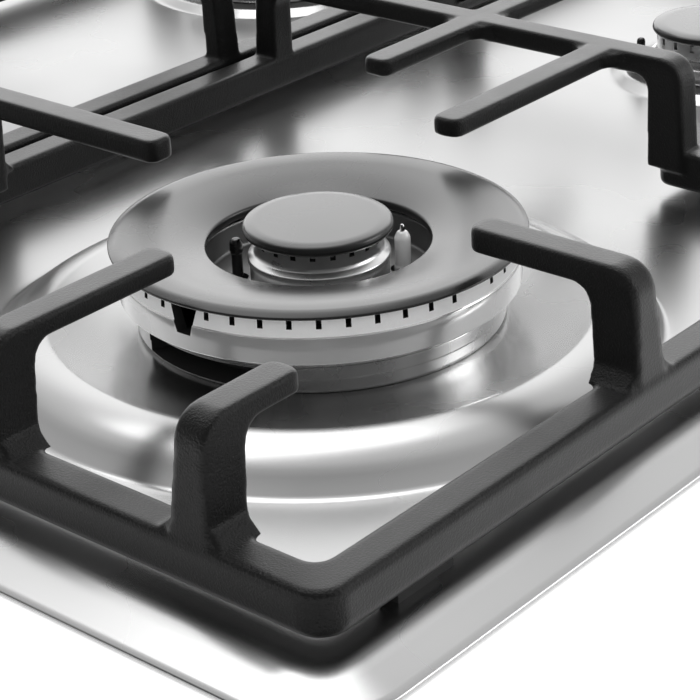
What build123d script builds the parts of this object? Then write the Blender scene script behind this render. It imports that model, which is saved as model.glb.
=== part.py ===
"""Built-in gas cooktop: pressed steel top, double-ring burner and three smaller burners,
cast-iron pan supports, four push-and-turn knobs, and the gas and ignition parts in its tray.

Millimetres. +Z up, X along the width, -Y the front. The origin is under the middle of the
tray's flat bottom. Heights named UP_ are above the flat of the pressed top.
"""
import os
from math import cos, pi, radians, sin

from build123d import *

os.makedirs("parts", exist_ok=True)

# ---------------------------------------------------------------- hob top and tray
HOB_W = 590.0
HOB_D = 510.0
HOB_CORNER = 28.0
SHEET = 0.8
TOP_Z = 48.0
RIM_BAND = 7.0
RIM_DROP = 4.0
RIM_LIP = 1.2
TRAY_INSET_X = 18.5
TRAY_INSET_Y = 16.0
TRAY_CORNER = 14.0
TRAY_FLANGE = 10.0
POCKET = 60.0
POCKET_H = 18.0
SEAL_GAP = 1.0
SEAL_W = 7.0
SEAL_H = 5.2

# ---------------------------------------------------------------- burner places
WOK_TO_LEFT = 158.0
WOK_TO_FRONT = 138.5
REAR_TO_BACK = 105.0
AUX_TO_RIGHT = 158.0
AUX_TO_STEP = 58.5

# ---------------------------------------------------------------- double-ring burner
BOSS_R = 105.5
BOSS_SHOULDER_R = 99.5
BOSS_SHOULDER_UP = 5.0
BOSS_CREST_R = 85.0
BOSS_CREST_UP = 11.0
BOSS_FLOOR_R = 63.0
BOSS_FLOOR_UP = 7.0
BOSS_HOLE_R = 47.0
BOSS_WALL_R = 92.3
BOSS_WALL_UP = 9.3
BOSS_DISH_R = 71.0
BOSS_DISH_UP = 8.1
HOLE_GAP = 3.0
WOK_BASE_R = 57.3
WOK_BASE_H = 8.5
WOK_CUP_WALL = 2.5
WOK_CUP_DEPTH = 33.0
WOK_DECK_H = 3.0
WOK_DECK_DROP = 3.5
CROWN_R = 62.0
CROWN_H = 17.5
CROWN_LIP_H = 3.0
CROWN_BAND_H = 8.7
CROWN_TOP_DRAFT = 0.8
CROWN_WALL = 3.2
CROWN_INNER_R = 36.2
CROWN_INNER_WALL = 2.6
CROWN_FLOOR = 2.5
CROWN_BRIDGE_H = 9.0
CROWN_SLOTS = 46
SLOT_W = 1.6
SLOT_DEPTH = 3.3
SLOT_PHASE = 2.0
SLOT_BLANKS = (-12, 0, 11)
NOTCH_SLOT = -23
NOTCH_TOP = 11.0
NOTCH_BOTTOM = 5.0
NOTCH_DEPTH = 9.3
RING_CAP_R = 64.0
RING_CAP_HOLE_R = 34.4
RING_CAP_FLAT_R = 56.5
RING_CAP_THICK = 2.6
RING_CAP_DISH = 4.6
HEAD_FOOT_R = 25.0
HEAD_STEP_R = 22.0
HEAD_TOP_R = 19.4
HEAD_STEP_H = 9.0
HEAD_H = 16.4
HEAD_WALL = 2.4
HEAD_SLOTS = 20
HEAD_SLOT_W = 1.7
HEAD_SLOT_DEPTH = 2.6
INNER_CAP_R = 23.2
INNER_CAP_H = 3.6
CAP_SPIGOT = 1.6
FIT_GAP = 0.4

# ---------------------------------------------------------------- small burners
SMALL_FLOOR_UP = 1.8
SMALL_CREST_UP = 3.4
SMALL_FLOOR_OUT = 8.0
SMALL_CREST_OUT = 12.0
SMALL_BOSS_OUT = 17.0
SMALL_BASE_H = 6.5
SMALL_BASE_OUT = 1.0
SMALL_CUP_IN = 6.0
SMALL_CUP_DEPTH = 26.5
SMALL_HEAD_H = 9.5
SMALL_HEAD_IN = 1.8
SMALL_CAP_H = 3.5
SMALL_SLOT_PITCH = 7.4
AUX_CAP_R = 24.5
SEMI_CAP_R = 34.0
RAPID_CAP_R = 43.0
EAR_OUT = 4.5
EAR_R = 5.0

# ---------------------------------------------------------------- sparks and flame sensors
PLUG_R = 2.8
PLUG_UP = 30.5
WIRE_R = 0.8
SENSOR_R = 2.1
SENSOR_UP = 31.0
PIECE_GAP = 1.2
WOK_PLUG_R = 26.0
WOK_PLUG_ANGLE = -39.0
WOK_SENSOR_R = 25.6
WOK_SENSOR_ANGLE = 124.0
SMALL_PLUG_H = 7.0
SMALL_PLUG_ANGLE = -50.0
SMALL_SENSOR_ANGLE = 130.0

# ---------------------------------------------------------------- pan supports
BAR_W = 12.4
BAR_H = 13.5
BAR_UP = 3.5
BAR_CORNER = 15.0
BAR_INNER_CORNER = 5.0
BAR_EDGE = 1.6
BAR_UNDER_EDGE = 2.5
RIM_TO_BAR = 18.5
SIDE_TO_BAR = 21.0
GRATE_GAP = 4.2
REAR_TO_BAR = 89.7
STEP_TO_BEZEL = 22.0
STEP_TO_KNOB = 58.0
SUPPORT_UP = 50.2
FINGER_W = 11.0
FINGER_T = 6.2
FINGER_T_FRONT = 7.6
FINGER_TIP = 3.6
FINGER_EDGE = 1.2
LEG_OUT_IN = 4.2
LEG_IN = 9.4
LEG_IN_TOP = 13.0
LEG_FOOT_W = 14.4
TOE_W = 24.0
TOE_H = 4.5
BEND_OUT = 9.0
BEND_IN = 6.0
BRIDGE_T = 7.2
BRIDGE_OUT_IN = 2.8
BRIDGE_LEAN = 0.4
FRONT_BRIDGE_IN = 9.0
MID_BRIDGE_IN = 5.5
REAR_BRIDGE_IN = 3.5
WEB = 7.0
STEP_TO_BRIDGE = 2.1
REAR_BRIDGE_X = 142.5
FOOT_L = 22.0
FOOT_W = 7.0
FOOT_INSET = 35.0
TIP_WOK = 63.4
TIP_WOK_FRONT = 59.1
TIP_WOK_REAR = 63.6
TIP_BRIDGE = 62.9
TIP_CLEAR = 3.0
SIDE_FINGER_Y = -75.3
SIDE_FINGER_TIP = 96.8
BRIDGE_FINGER_Y = 57.9
BRIDGE_FINGER_L = 59.6
MAIN_FINGER_Y = 0.9
FRONT_FINGER_X = 2.6
REAR_FINGER_X = -1.0

# ---------------------------------------------------------------- knobs and gas taps
KNOBS = 4
KNOB_TO_RIGHT = 49.0
KNOB_PITCH = 58.0
KNOB_TO_FRONT = 52.0
KNOB_R = 20.0
KNOB_TOP_R = 17.5
KNOB_H = 21.0
KNOB_UP = 4.6
KNOB_SOCKET = 14.0
GRIP_W = 11.0
GRIP_CUT = 12.0
POINTER_W = 1.6
POINTER_DEPTH = 0.8
PUSH = 3.0
SPINDLE_R = 4.0
SPINDLE_FIT = 0.05
SPINDLE_BORE_GAP = 0.3
BEZEL_R = 23.0
BEZEL_BORE_R = 5.5
BEZEL_H = 1.2
PANEL_BORE_R = 6.5
RAIL_R = 7.0
RAIL_WALL = 1.5
RAIL_Z = 11.0
RAIL_HIGH_Z = 27.0
RAIL_BEND = 10.0
RAIL_RUN = 50.0
RAIL_RISE_RUN = 40.0
TAP_R = 11.0
TAP_FOOT_R = 8.5
TAP_TOP_Z = 43.2
TAP_LID = 1.7
TAP_SEAT_Z = 18.3
SADDLE_GAP = 0.1
COLLAR_R = 6.3
COLLAR_FIT = 0.08
COLLAR_H = 2.8
COLLAR_REST_GAP = 0.2
SPRING_L = 7.2
SPRING_GAP = 0.3
PORT_Z = 30.0
PORT_R = 6.0
PORT_OUT = 8.0
PIPE_R = 4.0
PIPE_WALL = 1.0
PIPE_BEND = 12.0
WOK_PIPE_OUT = 30.0
WOK_PIPE_IN = 60.0
AUX_PIPE_OUT = 25.0
AUX_PIPE_IN = 20.0
REAR_PIPE_PAST = 40.0
REAR_PIPE_X = 0.0
RAPID_PIPE_OUT = 22.0
RAPID_PIPE_RUN = 48.0
RAPID_PIPE_IN = 26.0
SWITCH_W = 16.0
SWITCH_D = 8.0
SWITCH_H = 12.0
INLET_TO_SIDE = 26.5
INLET_TO_BACK = 29.0
INLET_R = 10.48
INLET_L = 13.5
INLET_BORE_R = 6.0
ELBOW_R = 13.0
ELBOW_H = 17.0
ELBOW_OUT = 16.0
NECK_R = 10.2
NECK_L = 1.3

# ---------------------------------------------------------------- small fittings
BOX_W = 70.0
BOX_D = 36.0
BOX_H = 24.0
BOX_TO_BACK = 34.0
GLAND_X = -20.0
GLAND_R = 8.0
GLAND_NUT_R = 11.0
GLAND_BORE_R = 4.5
GLAND_OUT = 5.0
CLAMP_L = 50.0
CLAMP_W = 12.0
CLAMP_T = 2.0
CLAMP_TAB_Z = 20.0
CLAMP_TAB_T = 1.5
CLAMP_Y = 150.0
SCREW_R = 2.0
SCREW_HEAD_R = 4.0
SCREW_HEAD_H = 2.4
SCREW_GAP = 0.2
TRAY_SCREW_Y = 120.0
INJECTOR_R = 5.0
INJECTOR_H = 10.0

# ---------------------------------------------------------------- derived places
TRAY_W = HOB_W - 2 * TRAY_INSET_X
TRAY_D = HOB_D - 2 * TRAY_INSET_Y
WOK_X = -HOB_W / 2 + WOK_TO_LEFT
WOK_Y = -HOB_D / 2 + WOK_TO_FRONT
KNOB_Y = -HOB_D / 2 + KNOB_TO_FRONT
KNOB_XS = tuple(HOB_W / 2 - KNOB_TO_RIGHT - n * KNOB_PITCH for n in reversed(range(KNOBS)))
LEFT_BAR_X = -HOB_W / 2 + SIDE_TO_BAR + BAR_W / 2
RIGHT_BAR_X = -LEFT_BAR_X
FRONT_BAR_Y = -HOB_D / 2 + RIM_TO_BAR + BAR_W / 2
BACK_BAR_Y = -FRONT_BAR_Y
STEP_BAR_X = KNOB_XS[0] - BEZEL_R - STEP_TO_BEZEL - BAR_W / 2
STEP_BAR_Y = KNOB_Y + STEP_TO_KNOB
FRONT_BRIDGE = STEP_BAR_X - STEP_TO_BRIDGE
REAR_Y = HOB_D / 2 - REAR_TO_BACK
REAR_BAR_Y = REAR_Y - REAR_TO_BAR
MID_BAR_Y = REAR_BAR_Y - BAR_W - GRATE_GAP
REAR_BRIDGE = WOK_X + REAR_BRIDGE_X
AUX_X = HOB_W / 2 - AUX_TO_RIGHT
AUX_Y = STEP_BAR_Y + AUX_TO_STEP
INLET_X = TRAY_W / 2 - INLET_TO_SIDE
INLET_Y = TRAY_D / 2 - INLET_TO_BACK
BOX_Y = TRAY_D / 2 - BOX_TO_BACK
BAR_Z = TOP_Z + BAR_UP
FINGER_Z = TOP_Z + SUPPORT_UP
WOK_SEAT_Z = TOP_Z + BOSS_FLOOR_UP
WOK_CROWN_Z = WOK_SEAT_Z + WOK_BASE_H
WOK_CAP_Z = WOK_CROWN_Z + CROWN_H
WOK_FLOOR_Z = WOK_CROWN_Z + CROWN_FLOOR
INNER_CAP_Z = WOK_FLOOR_Z + HEAD_H
WOK_DECK_Z = WOK_CROWN_Z - WOK_DECK_DROP
WOK_CUP_R = BOSS_HOLE_R - HOLE_GAP
SMALL_SEAT_Z = TOP_Z + SMALL_FLOOR_UP
SMALL_HEAD_Z = SMALL_SEAT_Z + SMALL_BASE_H
SMALL_CAP_Z = SMALL_HEAD_Z + SMALL_HEAD_H
SMALL_BURNERS = (
    ("rear_left", WOK_X, REAR_Y, SEMI_CAP_R, 0),
    ("rear_right", AUX_X, REAR_Y, RAPID_CAP_R, 0),
    ("front_right", AUX_X, AUX_Y, AUX_CAP_R, -90),
)


def section(x, y):
    """Upright drawing plane through a burner's or knob's axis."""
    return Plane(origin=(x, y, 0), x_dir=(1, 0, 0), z_dir=(0, -1, 0))


def upright(x, y):
    return Axis((x, y, 0), (0, 0, 1))


def polar(x, y, radius, angle):
    return (x + radius * cos(radians(angle)), y + radius * sin(radians(angle)))


def turned(x, y, profile):
    """Solid of revolution about the upright axis at x, y from (radius, height) corners."""
    with BuildPart() as piece:
        with BuildSketch(section(x, y)):
            with BuildLine():
                Polyline(*profile, close=True)
            make_face()
        revolve(axis=upright(x, y))
    return piece.part


def finish(piece, name):
    piece.part.label = name
    export_step(piece.part, "parts/" + name + ".step")


# ================================================================ pressed steel top
def rim_solid(sheet):
    """The top's outer shape, or its inner one at a sheet's thickness."""
    width = HOB_W - 2 * sheet
    depth = HOB_D - 2 * sheet
    lip_z = TOP_Z - RIM_DROP - sheet
    with BuildPart() as piece:
        with BuildSketch(Plane.XY.offset(TOP_Z - RIM_DROP - RIM_LIP)):
            RectangleRounded(width, depth, HOB_CORNER - sheet)
        extrude(amount=lip_z - (TOP_Z - RIM_DROP - RIM_LIP))
        with BuildSketch(Plane.XY.offset(lip_z)):
            RectangleRounded(width, depth, HOB_CORNER - sheet)
        with BuildSketch(Plane.XY.offset(TOP_Z - sheet)):
            RectangleRounded(width - 2 * RIM_BAND, depth - 2 * RIM_BAND, HOB_CORNER - RIM_BAND - sheet)
        loft(ruled=True)
    return piece.part


def wok_boss():
    """Raised round boss and dish, as a sheet of constant height."""
    outer = (
        (BOSS_R, TOP_Z),
        (BOSS_SHOULDER_R, TOP_Z + BOSS_SHOULDER_UP),
        (BOSS_CREST_R, TOP_Z + BOSS_CREST_UP),
        (BOSS_FLOOR_R, TOP_Z + BOSS_FLOOR_UP),
        (BOSS_HOLE_R, TOP_Z + BOSS_FLOOR_UP),
    )
    under = tuple((r, z - SHEET) for r, z in reversed(outer))
    wall = (BOSS_WALL_R, TOP_Z + BOSS_WALL_UP)
    dish = (BOSS_DISH_R, TOP_Z + BOSS_DISH_UP)
    inward = ((-1, -0.25), (-1, 0))
    outward = ((1, 0), (1, 0.25))
    with BuildPart() as piece:
        with BuildSketch(section(WOK_X, WOK_Y)):
            with BuildLine():
                Polyline(*outer[:2])
                ThreePointArc(outer[1], wall, outer[2])
                Spline(outer[2], dish, outer[3], tangents=inward)
                Polyline(outer[3], outer[4], under[0], under[1])
                Spline(under[1], (dish[0], dish[1] - SHEET), under[2], tangents=outward)
                ThreePointArc(under[2], (wall[0], wall[1] - SHEET), under[3])
                Polyline(under[3], under[4], outer[0])
            make_face()
        revolve(axis=upright(WOK_X, WOK_Y))
    return piece.part


def small_boss(x, y, cap_r):
    """Low round boss with a flat floor for a small burner."""
    outer = (
        (cap_r + SMALL_BOSS_OUT, TOP_Z),
        (cap_r + SMALL_CREST_OUT, TOP_Z + SMALL_CREST_UP),
        (cap_r + SMALL_FLOOR_OUT, TOP_Z + SMALL_FLOOR_UP),
        (cap_r - SMALL_CUP_IN + HOLE_GAP, TOP_Z + SMALL_FLOOR_UP),
    )
    under = tuple((r, z - SHEET) for r, z in reversed(outer))
    return turned(x, y, outer + under)


with BuildPart() as hob_panel:
    add(rim_solid(0))
    add(rim_solid(SHEET), mode=Mode.SUBTRACT)
    with Locations((WOK_X, WOK_Y, TOP_Z)):
        Cylinder(BOSS_R - SHEET, 4 * SHEET, mode=Mode.SUBTRACT)
    add(wok_boss())
    for _, bx, by, cap_r, _ in SMALL_BURNERS:
        with Locations((bx, by, TOP_Z)):
            Cylinder(cap_r + SMALL_BOSS_OUT - SHEET, 4 * SHEET, mode=Mode.SUBTRACT)
        add(small_boss(bx, by, cap_r))
    with Locations([(x, KNOB_Y, TOP_Z) for x in KNOB_XS]):
        Cylinder(PANEL_BORE_R, 4 * SHEET, mode=Mode.SUBTRACT)
finish(hob_panel, "hob_panel")

# ================================================================ bottom tray
TRAY_TOP_Z = TOP_Z - SHEET
POCKET_X = (TRAY_W - POCKET) / 2
POCKET_Y = (TRAY_D - POCKET) / 2
TRAY_SCREW_X = TRAY_W / 2 - SHEET - SCREW_HEAD_R - SCREW_GAP


def tray_block(sheet):
    with BuildPart() as piece:
        with BuildSketch(Plane.XY.offset(sheet)):
            RectangleRounded(TRAY_W - 2 * sheet, TRAY_D - 2 * sheet, TRAY_CORNER - sheet)
        extrude(amount=TRAY_TOP_Z - sheet)
        with Locations((POCKET_X, POCKET_Y, 0)):
            Box(POCKET + 2 * sheet, POCKET + 2 * sheet, 2 * (POCKET_H + sheet), mode=Mode.SUBTRACT)
    return piece.part


with BuildPart() as bottom_tray:
    add(tray_block(0))
    add(tray_block(SHEET), mode=Mode.SUBTRACT)
    with BuildSketch(Plane.XY.offset(TRAY_TOP_Z - SHEET)):
        RectangleRounded(TRAY_W - SHEET, TRAY_D - SHEET, TRAY_CORNER - SHEET)
        RectangleRounded(TRAY_W - 2 * TRAY_FLANGE, TRAY_D - 2 * TRAY_FLANGE, TRAY_CORNER - SHEET,
                         mode=Mode.SUBTRACT)
    extrude(amount=SHEET)
    with Locations([(sx * (TRAY_W / 2 + CLAMP_W / 2), sy * CLAMP_Y, CLAMP_TAB_Z + CLAMP_TAB_T / 2)
                    for sx in (-1, 1) for sy in (-1, 1)]):
        Box(CLAMP_W, CLAMP_W, CLAMP_TAB_T)
    with Locations([(sx * (TRAY_W / 2 + CLAMP_W / 2), sy * CLAMP_Y, CLAMP_TAB_Z)
                    for sx in (-1, 1) for sy in (-1, 1)]):
        Cylinder(SCREW_R + SCREW_GAP, 4 * CLAMP_TAB_T, mode=Mode.SUBTRACT)
    with Locations([(sx * TRAY_SCREW_X, sy * TRAY_SCREW_Y, TRAY_TOP_Z) for sx in (-1, 1) for sy in (-1, 1)]):
        Cylinder(SCREW_R + SCREW_GAP, 4 * SHEET, mode=Mode.SUBTRACT)
    with Locations((INLET_X, INLET_Y, POCKET_H)):
        Cylinder(INLET_R + SCREW_GAP, 4 * SHEET, mode=Mode.SUBTRACT)
    with Locations(Location((GLAND_X, TRAY_D / 2, BOX_H), (90, 0, 0))):
        Cylinder(GLAND_R + SCREW_GAP, 4 * SHEET, mode=Mode.SUBTRACT)
finish(bottom_tray, "bottom_tray")

with BuildPart() as rim_seal:
    with BuildSketch(Plane.XY.offset(TRAY_TOP_Z - SEAL_H)):
        RectangleRounded(TRAY_W + 2 * SEAL_GAP + 2 * SEAL_W, TRAY_D + 2 * SEAL_GAP + 2 * SEAL_W,
                         TRAY_CORNER + SEAL_W)
        RectangleRounded(TRAY_W + 2 * SEAL_GAP, TRAY_D + 2 * SEAL_GAP, TRAY_CORNER, mode=Mode.SUBTRACT)
    extrude(amount=SEAL_H)
finish(rim_seal, "rim_seal")

with BuildPart() as worktop_clamps:
    with Locations([(sx * (TRAY_W / 2 + CLAMP_W / 2 + SCREW_GAP), sy * CLAMP_Y, CLAMP_TAB_Z - CLAMP_T / 2)
                    for sx in (-1, 1) for sy in (-1, 1)]):
        Box(CLAMP_W, CLAMP_L, CLAMP_T)
    with Locations([(sx * (TRAY_W / 2 + CLAMP_W / 2), sy * CLAMP_Y, CLAMP_TAB_Z)
                    for sx in (-1, 1) for sy in (-1, 1)]):
        Cylinder(SCREW_R + SCREW_GAP, 4 * CLAMP_T, mode=Mode.SUBTRACT)
finish(worktop_clamps, "worktop_clamps")

with BuildPart() as clamp_screws:
    with Locations([(sx * (TRAY_W / 2 + CLAMP_W / 2), sy * CLAMP_Y, CLAMP_TAB_Z - CLAMP_T)
                    for sx in (-1, 1) for sy in (-1, 1)]):
        Cylinder(SCREW_HEAD_R, SCREW_HEAD_H, align=(Align.CENTER, Align.CENTER, Align.MAX))
        Cylinder(SCREW_R, CLAMP_T + CLAMP_TAB_T + SCREW_HEAD_H, align=(Align.CENTER, Align.CENTER, Align.MIN))
finish(clamp_screws, "clamp_screws")

with BuildPart() as tray_screws:
    with Locations([(sx * TRAY_SCREW_X, sy * TRAY_SCREW_Y, TRAY_TOP_Z - SHEET)
                    for sx in (-1, 1) for sy in (-1, 1)]):
        Cylinder(SCREW_HEAD_R, SCREW_HEAD_H, align=(Align.CENTER, Align.CENTER, Align.MAX))
        Cylinder(SCREW_R, SHEET, align=(Align.CENTER, Align.CENTER, Align.MIN))
finish(tray_screws, "tray_screws")


# ================================================================ double-ring burner
def port(x, y, body_r, angle, z):
    """Stub on a burner's cup that a gas pipe ends against."""
    with BuildPart() as piece:
        with Locations(Location((x, y, z), (0, 0, angle))):
            with Locations(Location((0, 0, 0), (0, 90, 0))):
                Cylinder(PORT_R, body_r + PORT_OUT, align=(Align.CENTER, Align.CENTER, Align.MIN))
    return piece.part


def cup(x, y, body_r, seat_r, seat_z, rim_h, depth, angle):
    """Cast cup through the top: seat ring above it, wall and floor below, gas port at its side."""
    bottom_z = seat_z - depth
    inner_r = body_r - WOK_CUP_WALL
    profile = (
        (0, bottom_z), (body_r, bottom_z), (body_r, seat_z), (seat_r, seat_z), (seat_r, seat_z + rim_h),
        (inner_r, seat_z + rim_h), (inner_r, bottom_z + WOK_CUP_WALL), (0, bottom_z + WOK_CUP_WALL),
    )
    with BuildPart() as piece:
        add(port(x, y, body_r, angle, PORT_Z))
        with Locations((x, y, bottom_z)):
            Cylinder(inner_r, depth, align=(Align.CENTER, Align.CENTER, Align.MIN), mode=Mode.SUBTRACT)
        add(turned(x, y, profile))
    return piece.part


WOK_PLUG = polar(WOK_X, WOK_Y, WOK_PLUG_R, WOK_PLUG_ANGLE)
WOK_SENSOR = polar(WOK_X, WOK_Y, WOK_SENSOR_R, WOK_SENSOR_ANGLE)

with BuildPart() as wok_base:
    add(cup(WOK_X, WOK_Y, WOK_CUP_R, WOK_BASE_R, WOK_SEAT_Z, WOK_BASE_H, WOK_CUP_DEPTH, 0))
    with Locations((WOK_X, WOK_Y, WOK_DECK_Z)):
        Cylinder(WOK_CUP_R - WOK_CUP_WALL / 2, WOK_DECK_H, align=(Align.CENTER, Align.CENTER, Align.MAX))
    with Locations((WOK_X, WOK_Y, WOK_DECK_Z)):
        Cylinder(HEAD_TOP_R - HEAD_WALL, 3 * WOK_DECK_H, mode=Mode.SUBTRACT)
    with Locations((*WOK_PLUG, WOK_DECK_Z)):
        Cylinder(PLUG_R - WIRE_R + SCREW_GAP, 3 * WOK_DECK_H, mode=Mode.SUBTRACT)
    with Locations((*WOK_SENSOR, WOK_DECK_Z)):
        Cylinder(SENSOR_R - WIRE_R + SCREW_GAP, 3 * WOK_DECK_H, mode=Mode.SUBTRACT)
finish(wok_base, "wok_base")

with BuildPart() as wok_crown:
    z0 = WOK_CROWN_Z
    top_z = WOK_CAP_Z
    add(turned(WOK_X, WOK_Y, (
        (0, z0), (WOK_BASE_R, z0), (CROWN_R - CROWN_TOP_DRAFT / 2, z0 + CROWN_LIP_H),
        (CROWN_R, z0 + CROWN_LIP_H + CROWN_BAND_H), (CROWN_R - CROWN_TOP_DRAFT, top_z),
        (CROWN_R - CROWN_TOP_DRAFT - CROWN_WALL, top_z), (CROWN_R - CROWN_WALL - CROWN_TOP_DRAFT, WOK_FLOOR_Z + 1),
        (CROWN_INNER_R + CROWN_INNER_WALL, WOK_FLOOR_Z + 1),
        (CROWN_INNER_R + CROWN_INNER_WALL, WOK_FLOOR_Z + CROWN_BRIDGE_H),
        (CROWN_INNER_R, WOK_FLOOR_Z + CROWN_BRIDGE_H), (CROWN_INNER_R, WOK_FLOOR_Z), (0, WOK_FLOOR_Z),
    )))
    with Locations((WOK_X, WOK_Y, z0)):
        Cylinder(HEAD_TOP_R - HEAD_WALL, 3 * CROWN_FLOOR, mode=Mode.SUBTRACT)
    with Locations((*WOK_PLUG, z0)):
        Cylinder(PLUG_R + PIECE_GAP, 3 * CROWN_FLOOR, mode=Mode.SUBTRACT)
    with Locations((*WOK_SENSOR, z0)):
        Cylinder(SENSOR_R + PIECE_GAP, 3 * CROWN_FLOOR, mode=Mode.SUBTRACT)
    slot_angles = [SLOT_PHASE + n * 360 / CROWN_SLOTS for n in range(-CROWN_SLOTS // 2 + 1, CROWN_SLOTS // 2)
                   if n not in SLOT_BLANKS]
    for angle in slot_angles:
        with Locations(Location((*polar(WOK_X, WOK_Y, CROWN_R - CROWN_WALL / 2, angle), top_z), (0, 0, angle))):
            Box(2 * CROWN_WALL, SLOT_W, 2 * SLOT_DEPTH, mode=Mode.SUBTRACT)
    notch_angle = SLOT_PHASE + NOTCH_SLOT * 360 / CROWN_SLOTS
    notch_x, notch_y = polar(WOK_X, WOK_Y, CROWN_R - 2 * CROWN_WALL, notch_angle)
    along = (-sin(radians(notch_angle)), cos(radians(notch_angle)), 0)
    outward = (cos(radians(notch_angle)), sin(radians(notch_angle)), 0)
    notch_plane = Plane(origin=(notch_x, notch_y, top_z), x_dir=along, z_dir=outward)
    with BuildSketch(notch_plane):
        with BuildLine():
            Polyline((-NOTCH_TOP / 2, 1), (NOTCH_TOP / 2, 1), (NOTCH_BOTTOM / 2, -NOTCH_DEPTH),
                     (-NOTCH_BOTTOM / 2, -NOTCH_DEPTH), close=True)
        make_face()
    extrude(amount=4 * CROWN_WALL, mode=Mode.SUBTRACT)
finish(wok_crown, "wok_crown")

with BuildPart() as wok_ring_cap:
    edge_r = CROWN_R - CROWN_TOP_DRAFT + 1.3
    seat_in = CROWN_R - CROWN_TOP_DRAFT - CROWN_WALL - FIT_GAP
    flat_z = WOK_CAP_Z + RING_CAP_THICK
    hole_z = flat_z - RING_CAP_DISH
    with BuildSketch(section(WOK_X, WOK_Y)):
        with BuildLine():
            Polyline((edge_r, WOK_CAP_Z), (seat_in, WOK_CAP_Z), (seat_in - 1, WOK_CAP_Z - CAP_SPIGOT),
                     (RING_CAP_HOLE_R + 3, hole_z - RING_CAP_THICK), (RING_CAP_HOLE_R, hole_z - RING_CAP_THICK),
                     (RING_CAP_HOLE_R, hole_z), (RING_CAP_FLAT_R, flat_z))
            Spline((RING_CAP_FLAT_R, flat_z), (RING_CAP_R, WOK_CAP_Z + 1.2), (edge_r, WOK_CAP_Z),
                   tangents=((1, 0.15), (-0.75, -0.5)))
        make_face()
    revolve(axis=upright(WOK_X, WOK_Y))
finish(wok_ring_cap, "wok_ring_cap")

with BuildPart() as wok_inner_head:
    foot_z = WOK_FLOOR_Z
    add(turned(WOK_X, WOK_Y, (
        (HEAD_TOP_R - HEAD_WALL, foot_z), (HEAD_STEP_R - 0.6, foot_z), (HEAD_STEP_R - 0.6, foot_z + HEAD_STEP_H - 3),
        (HEAD_STEP_R, foot_z + HEAD_STEP_H), (HEAD_TOP_R, foot_z + HEAD_STEP_H + 1.5), (HEAD_TOP_R, INNER_CAP_Z),
        (HEAD_TOP_R - HEAD_WALL, INNER_CAP_Z),
    )))
    for n in range(HEAD_SLOTS):
        spot = polar(WOK_X, WOK_Y, HEAD_TOP_R - HEAD_WALL / 2, n * 360 / HEAD_SLOTS)
        with Locations(Location((*spot, INNER_CAP_Z), (0, 0, n * 360 / HEAD_SLOTS))):
            Box(2 * HEAD_WALL, HEAD_SLOT_W, 2 * HEAD_SLOT_DEPTH, mode=Mode.SUBTRACT)
finish(wok_inner_head, "wok_inner_head")


def disc_cap(x, y, cap_r, head_bore_r, z, height):
    """Enamelled disc with a rounded edge, held in the head by a short spigot."""
    with BuildPart() as piece:
        with Locations((x, y, z)):
            Cylinder(cap_r, height, align=(Align.CENTER, Align.CENTER, Align.MIN))
        fillet(piece.edges().group_by(Axis.Z)[-1], height * 0.45)
        fillet(piece.edges().group_by(Axis.Z)[0], height * 0.25)
        with Locations((x, y, z)):
            Cylinder(head_bore_r - FIT_GAP, CAP_SPIGOT, align=(Align.CENTER, Align.CENTER, Align.MAX))
    return piece.part


with BuildPart() as wok_inner_cap:
    add(disc_cap(WOK_X, WOK_Y, INNER_CAP_R, HEAD_TOP_R - HEAD_WALL, INNER_CAP_Z, INNER_CAP_H))
finish(wok_inner_cap, "wok_inner_cap")

# ================================================================ small burners
plug_spots = []
sensor_spots = []
for name, bx, by, cap_r, port_angle in SMALL_BURNERS:
    cup_r = cap_r - SMALL_CUP_IN
    head_r = cap_r - SMALL_HEAD_IN
    plug_spot = polar(bx, by, cap_r + EAR_OUT, SMALL_PLUG_ANGLE)
    sensor_spot = polar(bx, by, cap_r + EAR_OUT, SMALL_SENSOR_ANGLE)
    plug_spots.append(plug_spot)
    sensor_spots.append(sensor_spot)
    with BuildPart() as small_base:
        add(cup(bx, by, cup_r, cap_r + SMALL_BASE_OUT, SMALL_SEAT_Z, SMALL_BASE_H, SMALL_CUP_DEPTH, port_angle))
        with Locations((*plug_spot, SMALL_SEAT_Z), (*sensor_spot, SMALL_SEAT_Z)):
            Cylinder(EAR_R, SMALL_BASE_H, align=(Align.CENTER, Align.CENTER, Align.MIN))
    finish(small_base, name + "_base")

    with BuildPart() as small_head:
        wall_r = head_r - HEAD_WALL
        add(turned(bx, by, (
            (cup_r - WOK_CUP_WALL - 2, SMALL_HEAD_Z), (cap_r - 0.6, SMALL_HEAD_Z),
            (head_r - 0.5, SMALL_HEAD_Z + 2.5), (head_r, SMALL_CAP_Z), (wall_r, SMALL_CAP_Z),
            (wall_r, SMALL_HEAD_Z + 2.5), (cup_r - WOK_CUP_WALL - 2, SMALL_HEAD_Z + 2.5),
        )))
        slots = round(2 * pi * head_r / SMALL_SLOT_PITCH)
        for n in range(slots):
            spot = polar(bx, by, head_r - HEAD_WALL / 2, n * 360 / slots)
            with Locations(Location((*spot, SMALL_CAP_Z), (0, 0, n * 360 / slots))):
                Box(2 * HEAD_WALL, SLOT_W, 2 * SLOT_DEPTH, mode=Mode.SUBTRACT)
    finish(small_head, name + "_head")

    with BuildPart() as small_cap:
        add(disc_cap(bx, by, cap_r, head_r - HEAD_WALL, SMALL_CAP_Z, SMALL_CAP_H))
    finish(small_cap, name + "_cap")

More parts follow.
